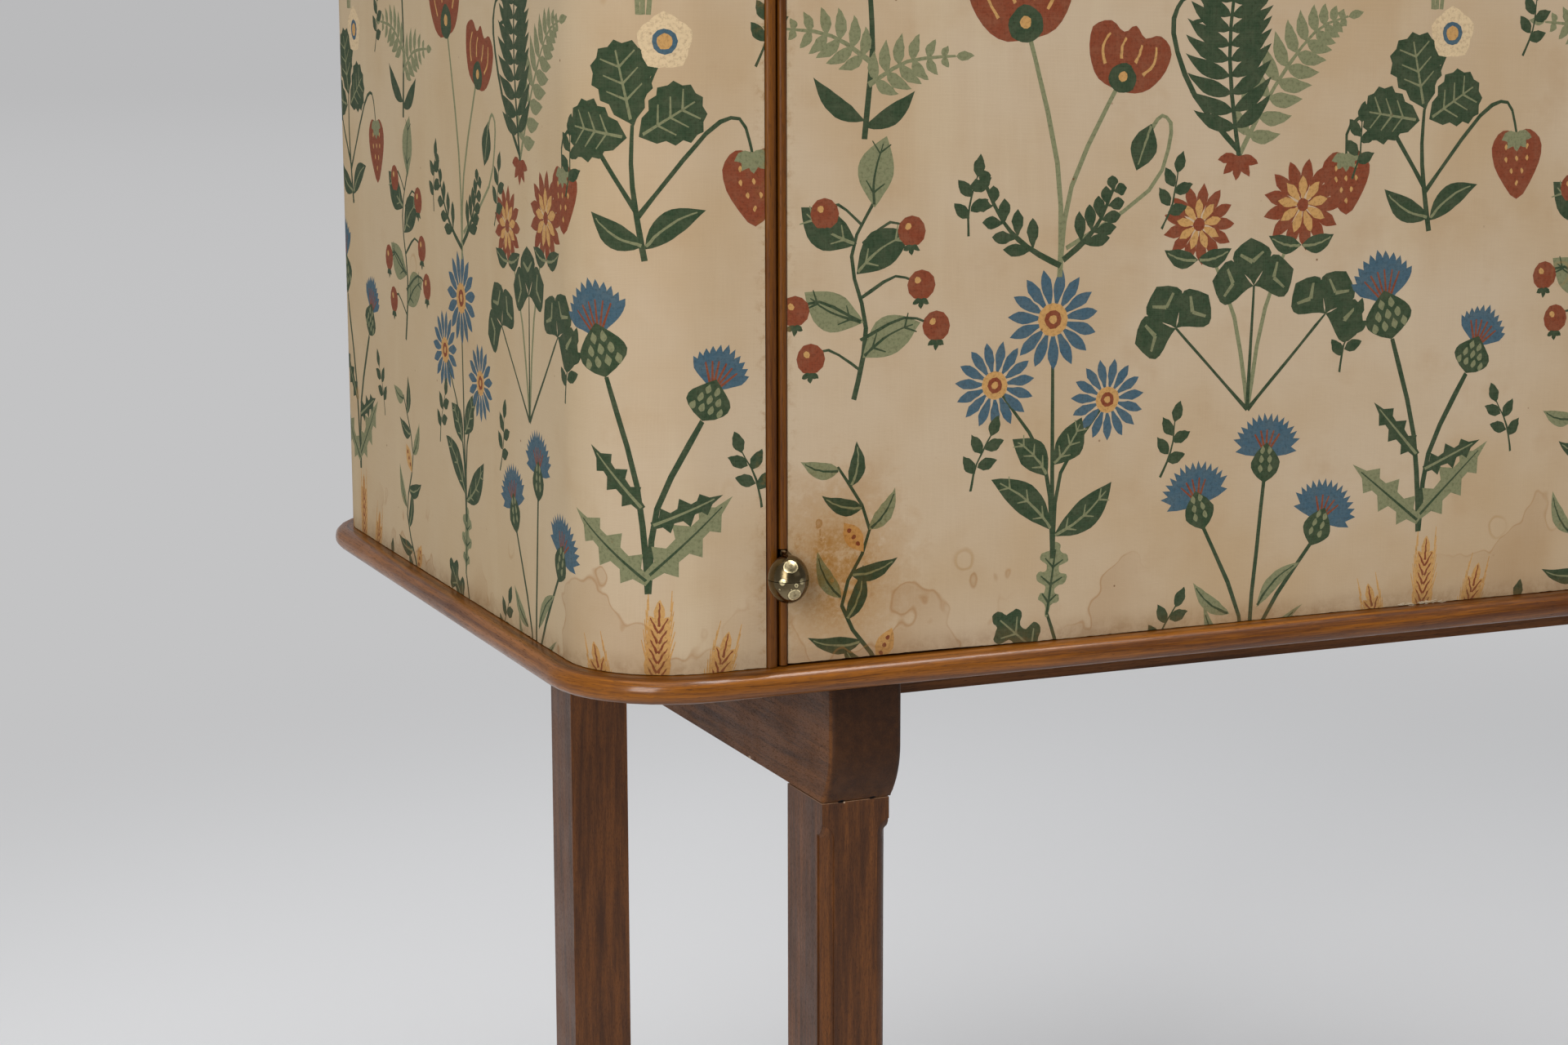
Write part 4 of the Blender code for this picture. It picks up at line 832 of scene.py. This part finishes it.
def aster(m):
    for x, y, size in ((-22, 56, 0.8), (23, 64, 0.85), (0, 86, 1.0)):
        m.stem(GREEN, x, y, 1.9, bow=(0.15, 0.55))
        m.rosette(BLUE, (x, y), 15, 16 * size, 4.4 * size, 0.1, 0.65, 2)
        for colour, radius, points in ((OCHRE, 6, 12), (RED, 3.4, 10), (OCHRE, 1.6, 8)):
            m.disc(colour, (x, y), radius * size, points)
    for at, angle, length in (((0, 8), 2.5, 30), ((0, 10), 0.7, 32), ((0, 34), 2.2, 20), ((2, 30), 0.8, 20)):
        m.leaf(GREEN, at, angle, length, 10, 0.08, 0.5, SAGE, 3)


def berries(m):
    m.stroke(GREEN, [(0, 0), (4, 24), (-2, 48), (6, 66)], 2.0, 0.5)
    for body, at, angle in (
        (SAGE, (3, 14), 0.5), (SAGE, (3, 26), 2.7), (GREEN, (0, 42), 0.6),
        (GREEN, (0, 52), 2.6), (SAGE, (6, 64), 1.4),
    ):
        m.leaf(body, at, angle, 24, 12, 0.08, 0.5, VEIN[body], 2)
    for x, y in ((-16, 14), (-22, 30), (24, 38), (20, 56), (-12, 62), (30, 24)):
        m.stroke(GREEN, [(2, y - 4), (x * 0.6, y + 3), (x, y)], 1.2)
        m.disc(RED, (x, y), 5.2)
        m.rosette(GREEN, (x, y - 4.6), 3, 3.6, 1.8, -2.6, 0.5, sweep=3.1)
        m.disc(OCHRE, (x - 1.4, y + 1.6), 1.2, points=7)


def sprig(m):
    m.stroke(GREEN, [(0, 0), (2, 16), (-1, 34)], 1.6, 0.5)
    for at, angle in (((1, 10), 0.6), ((1, 14), 2.5), ((1, 22), 0.7), ((0, 25), 2.4), ((-1, 33), 1.6)):
        m.leaf(GREEN, at, angle, 13, 6.5)


# One repeat of the print, in mm: columns, each with its place, its rise and its motifs, as motif, shift,
# size, base and side; and the sprigs between them, as x, y and side
REPEAT = (396 * MM, 395 * MM)
COLUMNS = (
    (46, 0, ((poppy, 0, 1.3, 0, 1), (oak, 4, 1.2, 141, -1), (aster, -2, 1.28, 266, -1))),
    (146, 52, ((fern, -8, 1.25, 0, 1), (cornflower, 2, 1.2, 134, 1), (clover, 0, 1.32, 277, 1))),
    (244, 14, ((strawberry, 0, 1.32, 0, 1), (wheat, 0, 1.15, 104, -1), (thistle, 0, 1.25, 250, 1))),
    (343, 64, ((umbel, 2, 1.3, 0, 1), (willow, 0, 1.12, 126, -1), (berries, -3, 1.32, 281, 1))),
)
SPRIGS = (
    (98, 20, 1), (196, 186, -1), (294, 96, 1), (98, 214, -1), (296, 300, 1), (0, 150, 1), (196, 344, -1),
    (100, 300, 1), (200, 40, 1), (0, 20, -1), (296, 200, -1), (2, 300, -1),
)


def repeat_shapes():
    """Every shape of one repeat, with edges as uneven as a hand-cut block's."""
    rng = random.Random(4)
    placed = []
    for x, lift, motifs in COLUMNS:
        for motif, shift, size, base, flip in motifs:
            at = (x + shift, lift + base)
            placed.append((Motif(motif).shapes, at, rng.uniform(-0.05, 0.05), size, flip))
    for x, y, flip in SPRIGS:
        placed.append((Motif(sprig).shapes, (x, y), rng.uniform(-0.5, 0.5), 0.8, flip))
    found = []
    for shapes, at, angle, size, flip in placed:
        for colour, points in shapes:
            ring = turned(points, at, angle, size, flip)
            phase = rng.uniform(0, 6)
            ring = [
                (x + 0.16 * math.sin(1.7 * y + phase), y + 0.16 * math.sin(1.9 * x + phase))
                for x, y in ring
            ]
            found.append((colour, np.array(ring) * MM))
    return found


# Cloth

WIDTH, DEPTH, RADIUS = 1.140, 0.458, 49.2 * MM  # of the body with its cloth
FRONT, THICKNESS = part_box("left_door_cover")[0].y, 0.7 * MM
FLAT = WIDTH / 2 - RADIUS  # from the middle of the front to where it turns
ARC = RADIUS * math.pi / 2
SIDE = DEPTH - 2 * RADIUS
SIDE_COVER_ENDS = (5.5 * MM, 0.492)  # from a stile strip's inner side, and on x at the back
DOOR_SAG = 1.5 * MM  # how far a door's cloth hangs below its panel, and half of it from s = 0.41 outwards
HEM_STEP = 1.8 * MM  # between the places where the lower edge changes its height
SAME_POINT = 1e-7  # the cloth's points this close are joined
SLIVER = 1e-13  # its faces below this area are left out


def on_body(s, depth=0.0):
    """The place and the outward direction at s along the cloth, in plan."""
    side = -1 if s < 0 else 1
    a = abs(s)
    if a <= FLAT:
        return s, FRONT + depth, 0.0, -1.0
    a -= FLAT
    if a <= ARC:
        turn = a / RADIUS
        nx, ny, cx, cy = math.sin(turn), -math.cos(turn), FLAT, FRONT + RADIUS
    elif a <= ARC + SIDE:
        nx, ny, cx, cy = 1.0, 0.0, FLAT, FRONT + RADIUS + a - ARC
    elif a <= 2 * ARC + SIDE:
        turn = (a - ARC - SIDE) / RADIUS
        nx, ny, cx, cy = math.cos(turn), math.sin(turn), FLAT, FRONT + DEPTH - RADIUS
    else:
        nx, ny, cx, cy = 0.0, 1.0, FLAT - (a - 2 * ARC - SIDE), FRONT + DEPTH - RADIUS
    reach = RADIUS - depth
    return side * (cx + nx * reach), cy + ny * reach, side * nx, ny


def corner_lines(low, high):
    """Places on s where the cloth turns, close enough for round corners."""
    steps = [FLAT + ARC * i / 24 for i in range(25)] + [FLAT + ARC + SIDE + ARC * i / 24 for i in range(25)]
    return [s for a in steps for s in (-a, a) if low + 0.5 * MM < s < high - 0.5 * MM]


def inside(points, ring):
    """Whether each of the points lies within the ring."""
    x, y = points[:, :1], points[:, 1:]
    a, b = ring, np.roll(ring, -1, 0)
    crossed = (a[:, 1] > y) != (b[:, 1] > y)
    with np.errstate(divide="ignore", invalid="ignore"):
        at = a[:, 0] + (y - a[:, 1]) * (b[:, 0] - a[:, 0]) / (b[:, 1] - a[:, 1])
    return (crossed & (x < at)).sum(1) % 2 == 1


def mark_inside(middles, along, ring):
    """The numbers of the middles that lie within the ring, where along is their rising s."""
    first, last = np.searchsorted(along, (ring[:, 0].min(), ring[:, 0].max()))
    height = middles[first:last, 1]
    near = first + np.flatnonzero((height > ring[:, 1].min()) & (height < ring[:, 1].max()))
    return near[inside(middles[near], ring)]


def cut_cloth(outline, rings, holes, lines):
    """Flat cloth in triangles along all rings and lines: its points, its faces and the ring of each face."""
    verts, edges = [], []
    for ring in (outline, *rings, *holes):
        start, count = len(verts), len(ring)
        verts += [Vector(point) for point in ring.tolist()]
        edges += [(start + k, start + (k + 1) % count) for k in range(count)]
    for line in lines:
        edges.append((len(verts), len(verts) + 1))
        verts += [Vector(point) for point in line]
    points, _, faces = delaunay_2d_cdt(verts, edges, [], 0, SAME_POINT, False)[:3]
    points, faces = np.array(points), np.array(faces)
    middles = points[faces].mean(1)
    order = np.argsort(middles[:, 0])
    faces, middles = faces[order], middles[order]
    along = middles[:, 0].copy()
    ink = np.full(len(faces), -1)
    for k, ring in enumerate(rings):
        ink[mark_inside(middles, along, ring)] = k
    kept = np.zeros(len(faces), bool)
    kept[mark_inside(middles, along, outline)] = True
    for hole in holes:
        kept[mark_inside(middles, along, hole)] = False
    a, b, c = (points[faces[:, k]] for k in range(3))
    area = (b[:, 0] - a[:, 0]) * (c[:, 1] - a[:, 1]) - (b[:, 1] - a[:, 1]) * (c[:, 0] - a[:, 0])
    kept &= np.abs(area) > SLIVER
    faces[area < 0] = faces[area < 0][:, ::-1]
    used, corners = np.unique(faces[kept], return_inverse=True)
    return points[used], corners.reshape(-1, 3), ink[kept]


def make_rim(flat, faces, outer):
    """Walls that carry the cloth's open edges in by its thickness: corners, directions and flat places."""
    pairs = np.concatenate([faces[:, [0, 1]], faces[:, [1, 2]], faces[:, [2, 0]]])
    _, where, counts = np.unique(np.sort(pairs, 1), axis=0, return_inverse=True, return_counts=True)
    rim = pairs[counts[where.ravel()] == 1]
    inner = np.array([[*on_body(s, THICKNESS)[:2], z] for s, z in flat[rim.ravel()]]).reshape(-1, 2, 3)
    walls = np.concatenate([outer[rim[:, ::-1]], inner], 1)
    outward = np.cross(walls[:, 1] - walls[:, 0], walls[:, 2] - walls[:, 1])
    outward /= np.linalg.norm(outward, axis=1)[:, None] + 1e-12
    return walls, outward, flat[np.concatenate([rim[:, ::-1], rim], 1)]


def printed_mesh(name, low, high, shapes, holes):
    """Printed cloth over the stretch of the body between two places (s, z), with a rim round its edges."""
    (low_s, low_z), (high_s, high_z) = low, high
    rng = random.Random(len(name))
    bottom = []
    for s in np.linspace(low_s, high_s, round((high_s - low_s) / HEM_STEP)):
        sag = DOOR_SAG * min(1, max(0.5, (0.46 - abs(s)) / 0.1)) if "door" in name else 0
        bottom.append((s, low_z + abs(rng.gauss(0, 0.1 * MM)) - sag))
    outline = np.array([*bottom, (high_s, high_z), (low_s, high_z)])
    rings, inks = [], []
    for i in range(math.floor(low_s / REPEAT[0]) - 1, math.floor(high_s / REPEAT[0]) + 2):
        for j in range(math.floor(low_z / REPEAT[1]) - 1, math.floor(high_z / REPEAT[1]) + 1):
            for colour, points in shapes:
                ring = points + (i * REPEAT[0], j * REPEAT[1])
                if (ring.max(0) > low).all() and (ring.min(0) < high).all():
                    rings.append(ring)
                    inks.append(colour)
    lines = [((s, low_z), (s, high_z)) for s in corner_lines(low_s, high_s)]
    flat, faces, ink = cut_cloth(outline, rings, holes, lines)
    plan = np.array([on_body(s) for s in flat[:, 0]])
    outer = np.column_stack([plan[:, :2], flat[:, 1]])
    walls, outward, rim_flat = make_rim(flat, faces, outer)
    rim_faces = len(outer) + np.arange(4 * len(walls)).reshape(-1, 4)
    normals = np.concatenate([np.column_stack([plan[:, 2:], np.zeros(len(plan))]), np.repeat(outward, 4, 0)])

    mesh = bpy.data.meshes.new(name)
    mesh.from_pydata(
        [*outer.tolist(), *walls.reshape(-1, 3).tolist()], [], faces.tolist() + rim_faces.tolist()
    )
    layer = mesh.uv_layers.new(name="cloth")
    layer.uv.foreach_set("vector", np.concatenate([flat[faces].ravel(), rim_flat.ravel()]).astype(np.float32))
    printed = mesh.color_attributes.new("print", "FLOAT_COLOR", "CORNER")
    colours = np.array([*inks, linear("c9b48c", 0.0)], np.float32)
    numbers = np.concatenate([np.repeat(ink, 3), np.full(4 * len(walls), -1)])
    printed.data.foreach_set("color", colours[numbers].ravel())
    mesh.polygons.foreach_set("use_smooth", [True] * len(mesh.polygons))
    mesh.normals_split_custom_set_from_vertices(normals.tolist())
    return mesh


def keyhole():
    """The hole in the cloth behind the escutcheon: round, with a slot below."""
    low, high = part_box("escutcheon")
    x, z = (low.x + high.x) / 2, (low.z + high.z) / 2
    ring = [off((0, 0), math.radians(240 - 30 * i), 2.7) for i in range(11)] + [(1.6, -8.2), (-1.6, -8.2)]
    return np.array([(x + u * MM, z + v * MM) for u, v in ring])


def make_covers():
    shapes, material = repeat_shapes(), make_cloth_material()
    back = FLAT + 2 * ARC + SIDE
    stretches = {}
    for name, side in (("left", -1), ("right", 1)):
        near = min(abs(corner.x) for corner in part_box(f"{name}_stile_strip")) + SIDE_COVER_ENDS[0]
        far = back + FLAT - SIDE_COVER_ENDS[1]
        stretches[f"{name}_side"] = (sorted((side * near, side * far)), "frame")
        stretches[f"{name}_door"] = ([corner.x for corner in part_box(f"{name}_door_cover")], f"{name}_door")
    stretches["back"] = ([corner.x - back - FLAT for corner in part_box("back_cover")], "frame")
    for name, (ends, body) in stretches.items():
        low, high = [(s, corner.z) for s, corner in zip(ends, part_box(f"{name}_cover"))]
        holes = [keyhole()] if name == "right_door" else []
        mesh = printed_mesh(f"printed_{name}_cover", low, high, shapes, holes)
        made = add_piece(mesh, material, body)
        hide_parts(f"{name}_cover")
        threads = [make_threads()] if name == "left_door" else []


# Wood and metal


def modifier_tree(name):
    """The nodes of a new modifier, and the mesh that comes in."""
    tree = bpy.data.node_groups.new(name, "GeometryNodeTree")
    for way in ("INPUT", "OUTPUT"):
        tree.interface.new_socket("Geometry", in_out=way, socket_type="NodeSocketGeometry")
    n = Nodes(tree)
    return n, n.add("NodeGroupInput")


def smoother():
    """Modifier nodes that join the faces of a CAD mesh and shade its rounds smooth."""
    n, mesh = modifier_tree("smooth_rounds")
    joined = n.add("GeometryNodeMergeByDistance", Geometry=mesh, Distance=0.01 * MM)
    angle = n.add("GeometryNodeInputMeshEdgeAngle", "Unsigned Angle")
    sharp = n.add("FunctionNodeCompare", settings={"operation": "GREATER_THAN"}, A=angle, B=math.radians(34))
    shaded = n.add("GeometryNodeSetMeshNormal", Mesh=joined, Remove_Custom=True, Edge_Sharpness=sharp)
    n.add("NodeGroupOutput", i0=shaded)
    return n.tree


def end_weights():
    """Modifier nodes that let a bevel round the bearers' ends fully, and their long edges less."""
    low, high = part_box("left_bearer")
    n, mesh = modifier_tree("end_weights")
    angle = n.add("GeometryNodeInputMeshEdgeAngle", "Signed Angle")
    sharp = n.math("GREATER_THAN", angle, math.radians(40))
    _, y, _ = n.parts(n.add("GeometryNodeInputPosition"))
    away = n.absolute(n.minus(y, (low.y + high.y) / 2))
    at_end = n.math("GREATER_THAN", away, (high.y - low.y) / 2 - 10 * MM)
    weight = n.times(n.times_plus(at_end, 0.72, 0.28), sharp)
    names = dict(Geometry=mesh, Name="bevel_weight_edge", Value=weight)
    stored = n.add("GeometryNodeStoreNamedAttribute", settings={"domain": "EDGE"}, **names)
    n.add("NodeGroupOutput", i0=stored)
    return n.tree


def ease(node, tree, width, weights):
    """Rounds a CAD node's edges by the width, and shades it smooth."""
    if width:
        node.modifiers.new("joined", "WELD").merge_threshold = 0.01 * MM
        faces = node.modifiers.new("whole_faces", "DECIMATE")
        faces.decimate_type = "DISSOLVE"
        faces.angle_limit = math.radians(0.5)
        if weights:
            node.modifiers.new("weights", "NODES").node_group = weights
        edges = node.modifiers.new("eased_edges", "BEVEL")
        edges.width = width
        edges.segments = 4 if weights else 3
        edges.limit_method = "WEIGHT" if weights else "ANGLE"
        edges.angle_limit = math.radians(40)
        edges.use_clamp_overlap = weights is None
    node.modifiers.new("smooth", "NODES").node_group = tree
    flat = node.modifiers.new("flat_faces", "WEIGHTED_NORMAL")
    flat.keep_sharp = True
    flat.weight = 100


def dress(brass, steel):
    """Gives each CAD node that shows its material, and its rounds and eased edges."""
    # The leg and bearer marks: a painted highlight on the leg's upper edges, painted shade in the joint's
    # gaps, and pale chips
    marks = [(*EDGE_HIGHLIGHT, "8a674c"), *((*gap_shade, "0c0705") for gap_shade in GAP_SHADES), *((*chip, "a98f74") for chip in CHIPS)]
    brown, pale = ("3b2210", "6b4220", "1d110a"), ("5d3a22", "835634", "38200f")
    board = make_wood("edge_wood", "edge", ("4b2607", "93570f", "281304"), coat=0.35)
    strip = make_wood("strip_wood", "Z", ("3d1c04", "693c0b", "1e0d03"), seed=2.3, coat=0.08)
    seen = dict(fine=True, marks=marks)
    leg = make_wood("leg_wood", "Z", ("40230d", "6b3e17", "1d0f07"), (0.36, 0.5), 5.1, coat=0.25, **seen)
    bearer = make_wood("bearer_wood", "Y", brown, (0.38, 0.52), 7.7, sway=0.03, **seen)
    rail = make_wood("rail_wood", "X", brown, (0.38, 0.52), 9.2)
    upright = make_wood("inner_wood_upright", "Z", pale, seed=11.4)
    level = make_wood("inner_wood_level", "X", pale, seed=13.9)
    looks = {
        "board": board, "strip": strip, "leg": leg, "bearer": bearer, "rail": rail, "post": upright,
        "panel": upright, "partition": upright, "shelf": level, "screw": steel, "keeper": steel,
        "half": brass, "case": brass, "bolt": brass, "key": brass, "escutcheon": brass,
    }
    special = {"bottom_panel": level, "top_panel": level, "lock_case": steel, "lock_bolt": steel}
    eased = {"bearer": 3.0 * MM, "rail": 1.2 * MM, "shelf": 0.8 * MM, "panel": 0.5 * MM}
    tree = smoother()
    ends = end_weights()
    for name, node in nodes.items():
        last = name.split("_")[-1]
        if last == "cover":
            continue
        for i in range(len(node.data.materials)):
            node.data.materials[i] = special.get(name, looks.get(last))
        ease(node, tree, eased.get(last, 0), ends if last == "bearer" else None)


# Screws and loose threads


def add_head(work, place, outward, radius, turn):
    """A low screw head in two halves, with the slot between them."""
    to_place = Matrix.Translation(place) @ Vector(outward).to_track_quat("Z", "Y").to_matrix().to_4x4()
    to_place = to_place @ Matrix.Rotation(turn, 4, "Z")
    slot = 0.16 * radius
    for half in (0, math.pi):
        rings = []
        for share, rise in ((1, -0.15), (1, 0.1), (0.88, 0.2), (0.5, 0.3)):
            r = radius * share
            reach = math.acos(slot / r)
            turns = [half - reach + 2 * reach * i / 9 for i in range(10)]
            spots = [to_place @ Vector((r * math.cos(a), r * math.sin(a), rise * MM)) for a in turns]
            rings.append([work.verts.new(spot) for spot in spots])
        for lower, upper in zip(rings, rings[1:]):
            for i in range(9):
                work.faces.new((lower[i], lower[i + 1], upper[i + 1], upper[i]))
        work.faces.new(rings[-1])
        work.faces.new(rings[0][::-1])
        work.faces.new([ring[0] for ring in rings[::-1]] + [ring[-1] for ring in rings])


def make_screws(brass, steel):
    """The screws of the hinges, the lock, its keeper and the slide bolts, and the escutcheon's pins."""
    rng = random.Random(9)
    heads = defaultdict(list)
    for side_name, side in (("left", -1), ("right", 1)):
        for level in ("lower", "upper"):
            low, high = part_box(f"{level}_{side_name}_hinge_frame_half")
            for body, face, way in (("frame", STILE_FACE, -side), (f"{side_name}_door", DOOR_FACE, side)):
                for lift, y in ((-15, 8.5), (0, 11), (15, 8.5)):
                    place = (side * face, FRONT + y * MM, (low.z + high.z) / 2 + lift * MM)
                    heads[body, "brass"].append((place, (way, 0, 0), 2.1 * MM))
    for node, body, metal, inset, lift in (
        ("lock_case", "right_door", "steel", 9, 4.5), ("lock_keeper", "left_door", "steel", 5.5, 4.5),
        ("top_slide_bolt_case", "left_door", "brass", 4, 9),
        ("bottom_slide_bolt_case", "left_door", "brass", 4, 9),
    ):
        low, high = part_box(node)
        for x in (low.x + inset * MM, high.x - inset * MM):
            for z in (low.z + lift * MM, high.z - lift * MM):
                heads[body, metal].append(((x, low.y + FLANGE, z), (0, 1, 0), 1.9 * MM))
    low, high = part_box("escutcheon")
    for x in (low.x + 2.4 * MM, high.x - 2.4 * MM):
        heads["right_door", "brass"].append(((x, low.y, (low.z + high.z) / 2), (0, -1, 0), 0.8 * MM))
    for (body, metal), places in heads.items():
        work = bmesh.new()
        for place, outward, radius in places:
            add_head(work, place, outward, radius, rng.uniform(0, 3))
        bmesh.ops.recalc_face_normals(work, faces=work.faces)
        mesh = bpy.data.meshes.new(f"{body}_{metal}_screws")
        work.to_mesh(mesh)
        work.free()
        add_piece(mesh, brass if metal == "brass" else steel, body)


def make_threads():
    """Short frayed threads that hang from the left door's cloth."""
    rng = random.Random(3)
    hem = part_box("left_door_cover")[0].z - DOOR_SAG
    steps = 7
    verts, faces = [], []
    for first, last, count in FRAYS:
        for _ in range(count):
            at = Vector((rng.uniform(first, last), FRONT + 0.15 * MM, hem + rng.uniform(0.4, 1.2) * MM))
            run = Vector((rng.choice((-1, 1)) * rng.uniform(0.5, 1.1), 0, -rng.uniform(0.0, 0.12))) * MM
            start = len(verts)
            end = start + 3 * (steps - 1)
            for _ in range(steps):
                for a in (0, 2 * math.pi / 3, 4 * math.pi / 3):
                    verts.append(at + Vector((0, math.cos(a), math.sin(a))) * 0.13 * MM)
                at = at + run + Vector((0, rng.uniform(-0.12, 0.02), rng.uniform(-0.3, 0.3))) * MM
            for ring in range(start, end, 3):
                for k in range(3):
                    a, b = ring + k, ring + (k + 1) % 3
                    faces.append((a, b, b + 3, a + 3))
            faces += [(start + 2, start + 1, start), (end, end + 1, end + 2)]
    mesh = bpy.data.meshes.new("frayed_threads")
    mesh.from_pydata(verts, [], faces)
    return add_piece(mesh, make_thread_material(), "left_door")


make_camera()
make_world()
make_floor()
make_lamp("left", (-2.75, -2.4, 2.0), (-0.4, -0.2, 0.8), (1.3, 2.4), 97)
make_lamp("right", (1.9, -4.0, 2.9), (-0.2, -0.2, 0.8), (3.2, 2.4), 6)
make_lamp("top", (0, -0.8, 4.4), (0, -0.6, 0), (4.0, 4.0), 65)
make_lamp("ceiling", (0.75, -0.8, 4.2), (-0.3, -0.4, 0.6), (1.3, 1.3), 62)
brass, steel = make_brass(), make_steel()
dress(brass, steel)
make_screws(brass, steel)
make_covers()

bpy.context.scene.view_settings.view_transform = "Standard"
